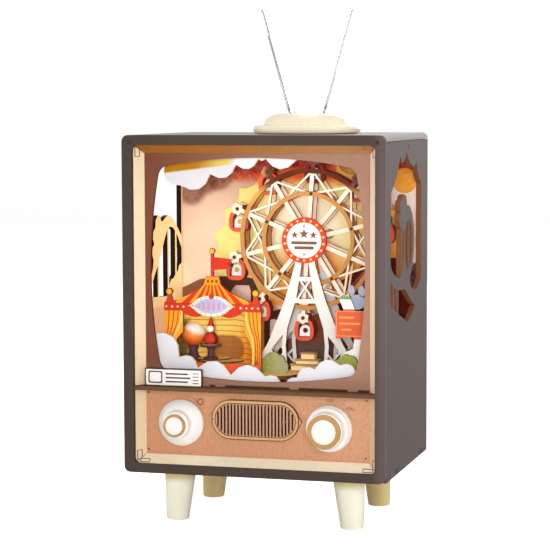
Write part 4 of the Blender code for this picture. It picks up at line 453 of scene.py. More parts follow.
def group_zone():
    """Everything inside a box of x, depth and height."""
    far = 1e3
    tree, given, out = new_group("zone", MASK, low=(-far, -far, -far), high=(far, far, far), softness=0.2)
    spot = place_in_mm(tree)
    above = vectors(tree, "SUBTRACT", spot, given["Low"])
    below = vectors(tree, "SUBTRACT", given["High"], spot)
    inside = axes(tree, vectors(tree, "MINIMUM", above, below))
    least = maths(tree, "MINIMUM", maths(tree, "MINIMUM", inside[0], inside[1]), inside[2])
    link(tree, soft_step(tree, least, given["Softness"]), out["Mask"])


def group_ring():
    """Between two radii about a centre, drawn out sideways where Straight isn't 0."""
    tree, given, out = new_group(
        "ring", MASK, centre_x=0.0, centre_height=0.0, inner=0.0, outer=10.0, straight=0.0, softness=0.2
    )
    x, _, height = axes(tree, place_in_mm(tree))
    across = maths(tree, "ABSOLUTE", minus(tree, x, given["Centre X"]))
    across = maths(tree, "MAXIMUM", minus(tree, across, given["Straight"]), 0.0)
    up = minus(tree, height, given["Centre Height"])
    radius = maths(tree, "SQRT", plus(tree, times(tree, across, across), times(tree, up, up)))
    beyond_inner = minus(tree, radius, given["Inner"])
    before_outer = minus(tree, given["Outer"], radius)
    inside = maths(tree, "MINIMUM", beyond_inner, before_outer)
    link(tree, soft_step(tree, inside, given["Softness"]), out["Mask"])


def group_laser_line():
    """A fine burnt line round a rectangle, seen from the front."""
    tree, given, out = new_group(
        "laser line", MASK, centre=(0.0, 0.0, 0.0), half=(1.0, 0.0, 1.0), width=0.3
    )
    offset = vectors(tree, "ABSOLUTE", vectors(tree, "SUBTRACT", place_in_mm(tree), given["Centre"]))
    beyond = axes(tree, vectors(tree, "SUBTRACT", offset, given["Half"]))
    edge = maths(tree, "ABSOLUTE", maths(tree, "MAXIMUM", beyond[0], beyond[2]))
    link(tree, maths(tree, "LESS_THAN", edge, times(tree, given["Width"], 0.5)), out["Mask"])


def group_rays():
    """Stripes that spread from a point, counted over a full turn."""
    tree, given, out = new_group("rays", MASK, centre_x=0.0, centre_height=0.0, count=20.0, share=0.5)
    edge_softness = 0.02
    x, _, height = axes(tree, place_in_mm(tree))
    across = minus(tree, x, given["Centre X"])
    up = minus(tree, given["Centre Height"], height)
    angle = maths(tree, "DIVIDE", maths(tree, "ARCTAN2", across, up), TURN)
    turns = times(tree, angle, given["Count"])
    wave = maths(tree, "ABSOLUTE", minus(tree, maths(tree, "FRACT", turns), 0.5))
    distance = minus(tree, wave, minus(tree, 0.5, times(tree, given["Share"], 0.5)))
    link(tree, eased(tree, distance, -edge_softness, edge_softness), out["Mask"])


def group_slope():
    """0 at one point and 1 at another, for soft changes of colour."""
    tree, given, out = new_group("slope", MASK, start=(0.0, 0.0, 0.0), end=(1.0, 0.0, 0.0))
    run = vectors(tree, "SUBTRACT", given["End"], given["Start"])
    offset = vectors(tree, "SUBTRACT", place_in_mm(tree), given["Start"])
    share = maths(tree, "DIVIDE", dot(tree, offset, run), dot(tree, run, run))
    link(tree, eased(tree, share, 0.0, 1.0), out["Mask"])


def texture_outputs(tree, out, value, start, end):
    """A texture's relief, and its tone: how much of the second colour it lays."""
    link(tree, eased(tree, value, start, end), out["Tone"])
    link(tree, value, out["Height"])


def group_wood_grain():
    """Long soft streaks and fine pores along one direction."""
    tree, given, out = new_group("wood grain", TEXTURE, squeeze=(0.06, 1.0, 1.0), scale=1.0)
    spot = vectors(tree, "MULTIPLY", place_in_mm(tree), given["Squeeze"])
    streaks = noise(tree, spot, given["Scale"], 4.0, 0.6)[0]
    pores = noise(tree, spot, times(tree, given["Scale"], 6.0), 2.0, 0.5)[0]
    both = plus(tree, times(tree, streaks, 0.7), times(tree, pores, 0.3))
    texture_outputs(tree, out, both, 0.32, 0.68)


def group_speckle():
    """Fine even specks, as on sanded and varnished plywood."""
    tree, given, out = new_group("speckle", TEXTURE, scale=2.5)
    specks = noise(tree, place_in_mm(tree), given["Scale"], 3.0, 0.7)[0]
    texture_outputs(tree, out, specks, 0.35, 0.65)


def group_leather():
    """Small folded grains that run askew over the panel."""
    tree, given, out = new_group("leather grain", TEXTURE, scale=1.4)
    spot = place_in_mm(tree)
    askew = (0.0, math.radians(35), 0.0)
    turned = node(tree, "Mapping", spot, None, askew, (1.0, 1.0, 0.45)).outputs[0]
    warp = noise(tree, spot, 0.35, 2.0, 0.5)["Color"]
    cells = node(tree, "TexVoronoi", vectors(tree, "ADD", turned, warp), None, given["Scale"])
    fine = noise(tree, turned, times(tree, given["Scale"], 3.0), 3.0, 0.6)[0]
    both = plus(tree, times(tree, cells.outputs["Distance"], 0.6), times(tree, fine, 0.4))
    texture_outputs(tree, out, both, 0.3, 0.75)


for make_group in (
    group_cut_edge, group_facing, group_zone, group_ring, group_laser_line, group_rays,
    group_slope, group_wood_grain, group_speckle, group_leather,
):
    make_group()


class Finish:
    """A finish of the box: one Principled material whose colour is painted in layers."""

    REFLECTION = 0.12
    BUMP_STEP = 0.1  # millimetres of relief at a bump height of 1

    def __init__(self, name, colour, roughness=0.55, **values):
        self.material = bpy.data.materials.new(name)
        self.material.use_nodes = True
        self.tree = self.material.node_tree
        self.shader = self.tree.nodes["Principled BSDF"]
        self.shader.inputs["Roughness"].default_value = roughness
        self.shader.inputs["Specular IOR Level"].default_value = self.REFLECTION
        for label, value in values.items():
            self.shader.inputs[spelled(label)].default_value = value
        self.colour = srgb(*colour)
        self.height = None

    def effect(self, name, output="Mask", **values):
        """One output of a shared effect, set to this finish's own values."""
        made = self.tree.nodes.new("ShaderNodeGroup")
        made.node_tree = bpy.data.node_groups[name]
        for label, value in values.items():
            link(self.tree, value, made.inputs[spelled(label)])
        return made.outputs[output]

    def paint(self, mask, colour, amount=1.0):
        """Lay a colour over what is there, where the mask is."""
        if amount != 1.0:
            mask = times(self.tree, mask, amount)
        self.colour = blended(self.tree, mask, self.colour, srgb(*colour))

    def zone(self, colour, start, end, softness=0.2, amount=1.0):
        self.paint(self.effect("zone", low=start, high=end, softness=softness), colour, amount)

    def ring(self, colour, centre, inner, outer, softness=0.2, straight=0.0, amount=1.0):
        mask = self.effect(
            "ring", centre_x=centre[0], centre_height=centre[1], inner=inner, outer=outer,
            softness=softness, straight=straight,
        )
        self.paint(mask, colour, amount)

    def slope(self, colour, start, end, amount=1.0):
        self.paint(self.effect("slope", start=start, end=end), colour, amount)

    def line(self, colour, centre, half, width=0.3):
        centre, half = (centre[0], 0.0, centre[1]), (half[0], 0.0, half[1])
        self.paint(self.effect("laser line", centre=centre, half=half, width=width), colour)

    def both(self, one, other):
        return times(self.tree, one, other)

    def texture(self, name, colour, amount, bump, **values):
        """A textured second colour, slightly raised."""
        self.paint(self.effect(name, "Tone", **values), colour, amount)
        self.raised(self.effect(name, "Height", **values), bump)

    def grain(self, colour, squeeze=(0.06, 1.0, 1.0), scale=0.7, amount=0.35, bump=0.03):
        self.texture("wood grain", colour, amount, bump, squeeze=squeeze, scale=scale)

    def speckle(self, colour, scale=2.5, amount=0.3, bump=0.02):
        self.texture("speckle", colour, amount, bump, scale=scale)

    def cut_edges(self, colour, facing=BACKWARDS, amount=1.0):
        self.paint(self.effect("laser cut edge", facing=facing), colour, amount)

    def raised(self, height, distance):
        """Fine relief, its depth in millimetres."""
        height = times(self.tree, height, distance / self.BUMP_STEP)
        self.height = height if self.height is None else plus(self.tree, self.height, height)

    def glow(self, strength, mask=None):
        """Painted light: the finish glows a little in its own colour, standing in for light from the lamps
        inside the case.
        """
        self.shader.inputs["Emission Strength"].default_value = strength
        lit = self.colour
        if mask is not None:
            lit = blended(self.tree, mask, (0.0, 0.0, 0.0, 1.0), self.colour)
        link(self.tree, lit, self.shader.inputs["Emission Color"])

    def done(self):
        link(self.tree, self.colour, self.shader.inputs["Base Color"])
        if self.height is not None:
            bump = self.tree.nodes.new("ShaderNodeBump")
            bump.inputs["Strength"].default_value = 1.0
            bump.inputs["Distance"].default_value = self.BUMP_STEP * MM
            link(self.tree, self.height, bump.inputs["Height"])
            link(self.tree, bump.outputs[0], self.shader.inputs["Normal"])
        return self.material


def specked(name, colour, roughness, speck, scale, amount, bump, edge=None, **values):
    """A plain finish: one colour with fine specks, and cut edges where a colour is given."""
    finish = Finish(name, colour, roughness, **values)
    finish.speckle(speck, scale, amount, bump)
    if edge:
        finish.cut_edges(edge)
    return finish.done()


def dress(material, *node_names):
    """Give parts of the box their finish."""
    for node_name in node_names:
        for material_slot in nodes[node_name].material_slots:
            material_slot.material = material


# Places in the box, in millimetres

WHEEL_MIDDLE = middle("wheel_axle")
WHEEL = (WHEEL_MIDDLE.x, WHEEL_MIDDLE.z)
SHELF_TOP = high("shelf").z
PANEL_FACE = low("control_panel").y
TENT_X = middle("tent_front").x
TENT_FACE = low("tent_front").y
GRILLE = middle("speaker_grille")
SIGN_FACE = low("hub_sign").y
SIGN_RADIUS = (high("hub_sign").x - low("hub_sign").x) / 2
BANNER_FACE = low("slide_banner").y

# Colours as they are seen

CASE_GREY = (74, 63, 57)
SIDE_GREY = (84, 72, 68)
RED = (204, 50, 26)

# Plain finishes: colour, roughness, speck colour, speck scale, speck amount, relief, cut edges
PLAIN = {
    "sign mark brown": ((120, 84, 66), 0.55, (138, 100, 80), 1.2, 0.3, 0.0),
    "dark bolt": ((78, 50, 36), 0.45, (96, 66, 50), 1.2, 0.3, 0.0),
    "white print": ((248, 244, 238), 0.55, (234, 228, 220), 0.8, 0.2, 0.01, (150, 120, 96)),
    "dark print": ((62, 52, 48), 0.55, (84, 72, 66), 1.2, 0.3, 0.01),
    "white tower ply": ((232, 229, 224), 0.5, (222, 217, 210), 0.6, 0.2, 0.01, (120, 82, 54)),
    "red print": (RED, 0.5, (232, 88, 56), 0.8, 0.2, 0.01, (120, 36, 22)),
    "amber print": ((240, 176, 46), 0.5, (252, 200, 84), 0.8, 0.3, 0.01, (140, 84, 26)),
    "cream print": ((250, 238, 214), 0.5, (240, 222, 190), 0.8, 0.3, 0.01, (150, 104, 66)),
    "curtain fold print": ((176, 84, 16), 0.5, (190, 100, 28), 0.8, 0.25, 0.0),
    "curtain hem print": ((240, 202, 104), 0.5, (248, 216, 128), 0.8, 0.25, 0.0),
    "rose print": ((206, 150, 172), 0.5, (216, 166, 186), 0.8, 0.25, 0.0),
    "amber brown dot": ((206, 140, 60), 0.5, (220, 160, 80), 0.8, 0.25, 0.0),
    "brown print": ((132, 62, 30), 0.55, (156, 80, 42), 1.0, 0.3, 0.0),
    "dark violet print": ((86, 56, 60), 0.5, (112, 76, 76), 0.8, 0.3, 0.01),
    "cream step print": ((250, 227, 172), 0.55, (244, 214, 150), 0.8, 0.2, 0.01),
    "tread print": ((186, 138, 86), 0.55, (200, 154, 100), 0.8, 0.3, 0.01),
    "banner mark print": ((248, 152, 84), 0.5, (250, 168, 104), 0.8, 0.2, 0.0),
    "pale pink print": ((248, 220, 206), 0.6, (252, 228, 216), 0.6, 0.2, 0.01),
    "roof ridge print": ((158, 82, 58), 0.6, (176, 100, 74), 0.8, 0.2, 0.01),
    "engraved mark": ((132, 84, 58), 0.6, (150, 100, 72), 2.0, 0.3, 0.0),
    "black plastic": ((38, 38, 40), 0.5, (54, 54, 56), 3.0, 0.4, 0.03),
}
plain = {name: specked(name, *values) for name, values in PLAIN.items()}
WHITE_PRINT = plain["white print"]
DARK_PRINT = plain["dark print"]
RED_PRINT = plain["red print"]
CREAM_PRINT = plain["cream print"]

PEARL_LACQUER = specked(
    "pearl white lacquer", (250, 247, 242), 0.22, (238, 232, 224), 0.12, 0.25, 0.0,
    coat_weight=0.6, coat_roughness=0.08,
)
CREAM_LACQUER = specked(
    "cream lacquer", (242, 231, 204), 0.28, (240, 222, 184), 0.12, 0.25, 0.0,
    coat_weight=0.4, coat_roughness=0.12,
)
WARM_BULB = specked(
    "warm bulb", (255, 196, 130), 0.25, (255, 220, 176), 1.0, 0.3, 0.0, coat_weight=0.5, coat_roughness=0.1
)
CHROME = specked("chromed tube", (226, 226, 230), 0.14, (200, 200, 206), 0.4, 0.3, 0.0, metallic=1.0)
DARK_STEEL = specked("dark steel", (92, 88, 84), 0.35, (120, 116, 110), 1.0, 0.3, 0.0, metallic=0.9)
BRASS = specked("brass", (216, 180, 104), 0.28, (196, 156, 84), 0.6, 0.3, 0.0, metallic=1.0)


# Case


def case_finish(name, colour, facing=None, inward=None, inner_colour=None):
    """Grey-brown print on plywood with burnt edges, and lit by the scene on the faces inward."""
    finish = Finish(name, colour, 0.6)
    finish.grain(tinted(colour, 0.88), (0.25, 0.25, 0.25), 0.5, 0.35, 0.02)
    finish.speckle(tinted(colour, 1.1), 1.6, 0.25, 0.02)
    if inward:
        finish.paint(finish.effect("facing", direction=inward), inner_colour)
    if facing:
        finish.cut_edges((58, 46, 44), facing, 0.75)
    return finish


front_grey = case_finish("grey front ply", CASE_GREY, BACKWARDS)
# Painted highlight: the right post of the frame is paler, where the light falls on it.
front_grey.zone((98, 84, 84), (70, -10, -10), (90, 10, 200), 7.0)
dress(front_grey.done(), "front_frame")
# Painted light: the top panel takes a paler copy of the case grey, for the light falling on it from above.
top_grey = case_finish("grey top ply", (150, 142, 137), None, DOWNWARDS, (190, 130, 90))
dress(top_grey.done(), "top_panel")
dress(case_finish("grey floor ply", CASE_GREY, UPWARDS).done(), "bottom_panel")
dress(case_finish("grey back ply", SIDE_GREY, BACKWARDS).done(), "back_panel")
# The burnt reveals of the side windows; the left one is near black, its burnt edge deepened with painted
# shade.
for side, inward, reveal_colour in (("right", LEFTWARDS, (128, 82, 52)), ("left", RIGHTWARDS, (26, 8, 3))):
    side_grey = case_finish("grey " + side + " ply", SIDE_GREY, None, inward, (245, 195, 150))
    reveal = side_grey.both(
        side_grey.effect("laser cut edge", facing=RIGHTWARDS),
        side_grey.effect("zone", low=(-90, 12, 60), high=(90, 105, 190), softness=1.0),
    )
    side_grey.paint(reveal, reveal_colour)
    if side == "left":
        track = side_grey.effect("facing", direction=inward)
        upper = side_grey.effect("zone", low=(-90, 0, 88), high=(0, 95, 170), softness=1.0)
        side_grey.paint(side_grey.both(track, upper), (255, 222, 160))
        # Painted light: the inner face of the left panel, with its printed track, glows a little though it is
        # no lamp.
        side_grey.glow(0.42, track)
    dress(side_grey.done(), side + "_side_panel")

BEZEL_LEFT, BEZEL_RIGHT = low("bezel_top").x, high("bezel_top").x
BEZEL_BOTTOM, BEZEL_TOP = low("bezel_left").z, high("bezel_left").z
UPRIGHT_MARK = (0.95, 2.6)
LYING_MARK = (2.7, 0.75)
# Each moulding: colour, second colour, where it starts and ends, its laser marks, their half size
# The four mouldings are one pale wood; their colours and second colours are painted light and shade, the top
# darkest as it faces down, the bottom palest.
MOULDINGS = {
    "left": (
        (243, 219, 185), (240, 208, 172), (0, 0, 180), (0, 0, 20),
        ((BEZEL_LEFT + 3.0, BEZEL_TOP - 5.2), (BEZEL_LEFT + 3.0, BEZEL_BOTTOM + 5.6)), UPRIGHT_MARK,
    ),
    "right": (
        (248, 216, 186), (238, 200, 160), (0, 0, 170), (0, 0, 30),
        ((BEZEL_RIGHT - 3.0, BEZEL_TOP - 5.2), (BEZEL_RIGHT - 3.0, BEZEL_BOTTOM + 5.6)), UPRIGHT_MARK,
    ),
    "top": (
        (164, 100, 34), (186, 142, 96), (-60, 0, 0), (66, 0, 0),
        ((BEZEL_LEFT + 6.4, BEZEL_TOP - 2.9), (BEZEL_RIGHT - 6.4, BEZEL_TOP - 2.9)), LYING_MARK,
    ),
    "bottom": (
        (252, 232, 204), (254, 236, 210), (-70, 0, 0), (70, 0, 0),
        ((BEZEL_LEFT + 6.4, BEZEL_BOTTOM + 2.6), (BEZEL_RIGHT - 6.4, BEZEL_BOTTOM + 2.6)), LYING_MARK,
    ),
}
for side, (colour, shade, start, end, corners, half) in MOULDINGS.items():
    moulding = Finish("pale moulding " + side, colour, 0.5, coat_weight=0.15, coat_roughness=0.3)
    # Painted light and shade: a slope along the moulding to its second colour.
    moulding.slope(shade, start, end)
    moulding.grain(tinted(colour, 0.9), (0.3, 0.3, 0.3), 0.5, 0.3, 0.01)
    moulding.speckle(tinted(colour, 1.08), 2.4, 0.4, 0.03)
    for corner in corners:
        moulding.line((130, 84, 48), corner, half, 0.4)
    dress(moulding.done(), "bezel_" + side)

mask = Finish("rose brown mask", (118, 64, 42), 0.6)
mask.slope((170, 130, 110), (-66, 0, 100), (66, 0, 112))
mask.slope((158, 118, 96), (0, 0, 64), (0, 0, 52), 0.85)
mask.grain((118, 70, 54), (0.2, 0.2, 0.2), 0.6, 0.14, 0.02)
mask.speckle((190, 150, 132), 2.0, 0.1, 0.02)
mask.cut_edges((98, 56, 36))
for start, end in ((-27.2, -23.9), (-18.5, 18.9), (24.2, 52.0), (57.7, 66.0)):
    mask.zone((70, 44, 34), (start, -50, 48.8), (end, 50, 49.9), 0.2)
dress(mask.done(), "screen_mask")

shelf = Finish("dark shelf ply", (108, 76, 52), 0.6)
shelf.grain((90, 62, 42), (0.08, 1.0, 1.0), 0.5, 0.4, 0.03)
shelf.zone((168, 124, 92), (-80, 14, 40), (80, 120, 60), 1.0)
dress(shelf.done(), "shelf")

panel = Finish("copper leather panel", (214, 156, 118), 0.42, metallic=0.0, sheen_weight=0.1)
panel.slope((222, 170, 134), (-20, 0, 0), (74, 0, 60))
panel.texture("leather grain", (190, 126, 90), 0.4, 0.12, scale=1.3)
panel.cut_edges((120, 74, 50))
dress(panel.done(), "control_panel")

grille = Finish("grille ply", (214, 168, 112), 0.5)
grille.grain((190, 138, 84), (0.3, 0.3, 0.3), 0.6, 0.25, 0.02)
grille.speckle((236, 200, 150), 2.6, 0.2, 0.02)
GRILLE_STRAIGHT = 14.1
for colour, inner, outer, softness in (
    ((196, 150, 124), FROM_MIDDLE, 9.2, 0.3), ((96, 58, 38), 8.9, 9.35, 0.2), ((110, 70, 44), 10.7, 11.3, 0.2)
):
    grille.ring(colour, (GRILLE.x, GRILLE.z), inner, outer, softness, GRILLE_STRAIGHT)
grille.cut_edges((52, 33, 24))
dress(grille.done(), "speaker_grille")


# Knobs

ring_wood = Finish("gold wood ring", (196, 152, 92), 0.45, coat_weight=0.2, coat_roughness=0.25)
ring_wood.grain((170, 122, 66), (0.3, 1.0, 0.3), 0.9, 0.35, 0.02)
RING_WOOD = ring_wood.done()
RING_HEIGHT = 2.4
DISC_HEIGHT = 0.8
PANEL_GAP = 0.3
SHOULDER_SHARE = 0.42
BODY_SHORT_OF_FACE = 2.7


def knob(name, base, neck, rim, disc):
    """A turned knob: wide skirt, neck, a wood ring on its front and a white disc in the ring."""
    cap = name + "_cap"
    centre, face = middle(cap), low(cap).y
    back = PANEL_FACE - PANEL_GAP
    reach = back - face
    shoulder = reach * SHOULDER_SHARE
    step = reach - BODY_SHORT_OF_FACE
    profile = [
        (0, 0), (base - 0.5, 0), (base - 0.1, 0.35), (base, 0.9), (base - 0.12, 1.6),
        (base - 0.6, 2.4), (base - 1.5, 3.1), (neck + 1.9, shoulder - 0.3), (neck + 1.0, shoulder),
        (neck + 0.35, shoulder + 0.5), (neck + 0.1, shoulder + 1.4), (neck, step - 0.7),
        (neck - 0.15, step - 0.25), (neck - 0.6, step), (0, step),
    ]
    shape = front_turned(profile, 96, centre.x, back, centre.z)
    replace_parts(piece(name + "_body", shape, PEARL_LACQUER, name), name + "_skirt")
    profile = [
        (0, 0), (rim - 0.2, 0), (rim, 0.2), (rim, 2.0), (rim - 0.4, RING_HEIGHT),
        (disc + 0.2, RING_HEIGHT), (disc, 2.2), (disc, 1.6), (0, 1.6),
    ]
    shape = front_turned(profile, 96, centre.x, face + RING_HEIGHT, centre.z)
    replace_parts(piece(name + "_ring", shape, RING_WOOD, name), cap)
    profile = [(0, 0), (disc - 0.05, 0), (disc - 0.05, 0.5), (disc - 0.4, 0.75), (0, DISC_HEIGHT)]
    shape = front_turned(profile, 64, centre.x, face + DISC_HEIGHT, centre.z)
    piece(name + "_disc", shape, PEARL_LACQUER, name)


knob("light_knob", 13.3, 7.6, 6.3, 5.05)
knob("music_knob", 13.2, 10.0, 9.4, 6.85)


# Feet and antennas

ivory = Finish("ivory lacquer", (254, 250, 230), 0.35, coat_weight=0.3, coat_roughness=0.15)
# Painted shade: the tops of the feet darken under the case, and the rear feet are darker all over.
ivory.zone((226, 204, 124), (-90, -10, -6.0), (90, 140, 4.0), 5.0, 0.85)
ivory.zone((234, 200, 130), (-90, 50, -60), (90, 140, 4.0), 10.0, 0.9)
ivory.speckle((250, 242, 214), 0.15, 0.15, 0.0)
IVORY_LACQUER = ivory.done()
FOOT_LEAN = 2.0
FOOT_RADIUS = 9.25


def foot(node_name):
    """A tapered foot, splayed outwards, with a small rounding at its ground edge."""
    start, end = low(node_name), high(node_name)
    side = 1 if start.x > 0 else -1
    centre_x = start.x + FOOT_RADIUS if side > 0 else end.x - FOOT_RADIUS
    length = -start.z
    profile = [
        (0, 0), (5.7, 0), (6.15, 0.18), (6.4, 0.6), (9.2, length - 0.4), (FOOT_RADIUS, length - 0.1),
        (9.0, length), (0, length),
    ]
    shape = turned_shape(profile, 64)
    for vert in shape.verts:
        vert.co.x += side * FOOT_LEAN * (1 - vert.co.z / length)
    shape = moved(shape, (centre_x, (start.y + end.y) / 2, start.z))
    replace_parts(piece(node_name + "_turned", shape, IVORY_LACQUER), node_name)


for name in ("foot_front_left", "foot_front_right", "foot_rear_left", "foot_rear_right"):
    foot(name)
dress(CREAM_LACQUER, "antenna_base")
dress(CHROME, "antenna_tube_left", "antenna_tube_right", "antenna_rod_left", "antenna_rod_right")


# Backdrop and clouds

# Pale yellow, warmer towards its foot and right, with red and orange bands at the top: printed, and darkened
# with painted shade under the case top. It also glows a little, as painted light.
sun = Finish("printed sun with painted shade and glow", (240, 228, 136), 0.6)
sun.ring((252, 246, 214), (WHEEL[0] - 15, WHEEL[1] + 3), FROM_MIDDLE, 24.0, 22.0)
sun.slope((242, 160, 52), (-20, 0, 105), (-16, 0, 92))
sun.ring((240, 134, 30), (8.0, 113.0), FROM_MIDDLE, 17.0, 14.0, 0.0, 0.95)
sun.zone((242, 158, 48), (40, 0, 90), (62, 120, 147), 8.0, 0.9)
# Printed red and orange bands, made darker towards the top with painted shade under the case top.
sun.zone((250, 150, 34), (-40, 0, 158.5), (80, 120, 200), 4.0, 0.9)
sun.zone((206, 70, 18), (-40, 0, 161.0), (80, 120, 200), 5.0, 0.95)
sun.zone((170, 30, 22), (-34, 0, 167.0), (22, 120, 200), 6.0, 0.95)
sun.zone((222, 160, 66), (24.6, 0, 158.0), (44, 120, 171.5), 0.6)
sun.speckle((255, 244, 200), 0.3, 0.08, 0.01)
sun.cut_edges((110, 72, 34))
# Painted light: the sun glows a little in its own colour, though it is no lamp.
sun.glow(0.14)
dress(sun.done(), "sun_panel")

# Peach with soft brown painted shadows of the clouds, red and orange at the top, printed and darkened with
# painted shade under the case top, and a scene at the right
sky = Finish("printed sky with painted shadows", (250, 218, 190), 0.6)
sky.slope((251, 231, 208), (-66, 0, 120), (-60, 0, 96))
# Painted shade: darker tan up towards the top cloud.
sky.slope((218, 180, 152), (-46, 0, 140), (-32, 0, 160), 0.8)
# Printed red and orange at the top, darkened with painted shade under the case top.
sky.zone((210, 74, 20), (-58, 0, 160.0), (80, 120, 200), 5.0, 0.95)
sky.zone((168, 28, 20), (-48, 0, 164.5), (80, 120, 200), 4.0, 0.95)
# Painted shadows of the top cloud's lobes.
for x, height, radius in ((-66.5, 155.0, 9.5), (-57.0, 160.0, 8.0), (-49.0, 163.0, 8.5)):
    sky.ring((140, 72, 42), (x, height), FROM_MIDDLE, radius, 5.0, 0.0, 0.85)
sky.zone((222, 160, 66), (24.6, 0, 158.0), (44, 120, 171.5), 0.6)
sky.zone((253, 240, 230), (57.0, 0, 110), (80, 120, 163), 0.6)
sky.zone((240, 140, 50), (57.0, 0, 114), (61.0, 120, 147), 2.0)
sky.ring((250, 168, 24), (64.8, 161.1), FROM_MIDDLE, 7.4, 0.4)
sky.zone((84, 16, 12), (57.0, 0, 60), (80, 120, 113), 2.0)
sky.speckle((255, 236, 220), 0.4, 0.12, 0.01)
sky.cut_edges((110, 66, 40))
dress(sky.done(), "sky_panel")


def cloud_finish(name, amber=False):
    """White, shaded to lilac below with painted shade; the top one has an amber band of painted shade from
    the frame's top, warmed with painted bounce light, that pales to the right.
    """
    finish = Finish(name, (228, 224, 228) if amber else (231, 230, 236), 0.6)
    finish.speckle((230, 228, 236), 0.25, 0.15, 0.01)
    if amber:
        # Painted light and shade: white where light reaches the top at the right, an amber band of painted
        # shade from the frame's top, and its darkest amber at the left end.
        finish.zone((252, 250, 250), (-13.5, -50, 160), (80, 200, 200), 3.0)
        edge = finish.both(
            finish.effect("slope", start=(-52.8, 0, 167.3), end=(-52.96, 0, 168.6)),
            finish.effect("slope", start=(-13.0, 0, 0), end=(-18.0, 0, 0)),
        )
        finish.paint(edge, (232, 208, 104))
        left_end = finish.effect("slope", start=(-18, 0, 0), end=(-38, 0, 0))
        finish.paint(finish.both(edge, left_end), (190, 122, 14))
    else:
        # Painted light: paler towards the top.
        finish.slope((254, 254, 255), (0, 0, 84), (0, 0, 100))
    finish.cut_edges((250, 222, 186))
    return finish.done()


dress(cloud_finish("cloud with painted amber shade on top", True), "cloud_top")
dress(cloud_finish("white cloud left"), "cloud_left")
dress(cloud_finish("white cloud right"), "cloud_right")


# Ferris wheel


def wheel_finish(name, ring_colour, spoke_colour):
    """Brown rings, cream spokes and bolted lugs, darker at the top with painted shade and paler at the upper
    left with a painted highlight, with thin burnt edges.
    """
    finish = Finish(name, spoke_colour, 0.55)
    finish.grain((236, 208, 180), (0.5, 0.5, 0.5), 0.8, 0.2, 0.02)
    rim = finish.effect(
        "ring", centre_x=WHEEL[0], centre_height=WHEEL[1], inner=37.3, outer=60.0, softness=0.3
    )
    for inner, outer in ((37.3, 40.6), (24.5, 27.4), (FROM_MIDDLE, 7.0)):
        finish.ring(ring_colour, WHEEL, inner, outer, 0.3)
    # Painted highlight on the upper left of the rim.
    upper = finish.effect("zone", low=(-80, 0, 150), high=(0, 80, 190), softness=6.0)
    finish.paint(finish.both(rim, upper), (216, 160, 78), 0.7)
    # Painted shade on the top of the rim, under the case top.
    top = finish.effect("zone", low=(-6, 0, 158), high=(62, 80, 190), softness=8.0)
    finish.paint(finish.both(rim, top), (84, 20, 12), 0.95)
    finish.cut_edges((128, 84, 50))
    return finish.done()


dress(wheel_finish("front wheel ply", (190, 134, 76), (250, 226, 206)), "wheel_front")
dress(wheel_finish("rear wheel ply", (170, 112, 62), (246, 214, 186)), "wheel_rear")
axle = Finish("axle wood", (200, 160, 112), 0.55)
axle.grain((168, 124, 78), (1.0, 0.06, 1.0), 0.8, 0.4, 0.03)
dress(axle.done(), "wheel_axle")
dress(plain["white tower ply"], "tower_front", "tower_rear")

sign = Finish("hub sign print", (218, 62, 34), 0.5)
sign.ring((253, 246, 242), WHEEL, FROM_MIDDLE, SIGN_RADIUS - 2.9, 0.15)
sign.speckle((240, 96, 62), 0.5, 0.08, 0.0)
sign.cut_edges((110, 38, 24))
dress(sign.done(), "hub_sign")

BULB_COUNT = 18
bulb_profile = [(0.8, 0), (0.74, 0.2), (0.5, 0.42), (0, 0.5)]
bulbs = []
for i in range(BULB_COUNT):
    x, height = around(WHEEL, SIGN_RADIUS - 1.55, 360 * (i + 0.5) / BULB_COUNT)
    bulbs.append(front_turned(bulb_profile, 12, x, SIGN_FACE, height))
piece("hub_sign_bulbs", bulbs, WARM_BULB)
screw_profile = [(0.6, 0), (0.55, 0.2), (0.3, 0.34), (0, 0.38)]
screws = [front_turned(screw_profile, 16, WHEEL[0], SIGN_FACE, WHEEL[1] + up) for up in (-7.9, 7.9)]
piece("hub_sign_screws", screws, plain["sign mark brown"])

SIGN_MARK = 0.16
sign_outlines = []
for x, height, radius in ((-5.4, 3.0, 2.3), (0.0, 3.6, 3.0), (5.4, 3.0, 2.3)):
    sign_outlines.append(shifted(star(radius), WHEEL[0] + x, WHEEL[1] + height))
for half, height in ((7.4, -1.4), (5.6, -4.2)):
    bar = rounded(-half, half, height - 0.85, height + 0.85, 0.5, 3)
    sign_outlines.append(shifted(bar, *WHEEL))
sign_marks = [front_shape([outline], SIGN_MARK, SIGN_FACE - 0.05) for outline in sign_outlines]
piece("hub_sign_marks", sign_marks, plain["sign mark brown"])

# Bolt heads where the cross posts and the gondola pivots meet the front plate
GONDOLA_COUNT = 10
FIRST_SPOKE = 86.1
wheel_face = low("wheel_front").y
bolts = []
for count, reach, radius in ((5, 25.95, 0.95), (GONDOLA_COUNT, 44.9, 0.8)):
    profile = [(radius, 0), (radius * 0.9, 0.3), (radius * 0.4, 0.5), (0, 0.55)]
    for i in range(count):
        x, height = around(WHEEL, reach, FIRST_SPOKE + 360 / count * i)
        bolts.append(front_turned(profile, 16, x, wheel_face, height))
piece("wheel_bolts", bolts, plain["dark bolt"], "wheel")

gondola = Finish("gondola print and painted shade", (222, 88, 66), 0.5)
gondola.grain((206, 78, 58), (0.5, 0.5, 0.5), 0.8, 0.25, 0.02)
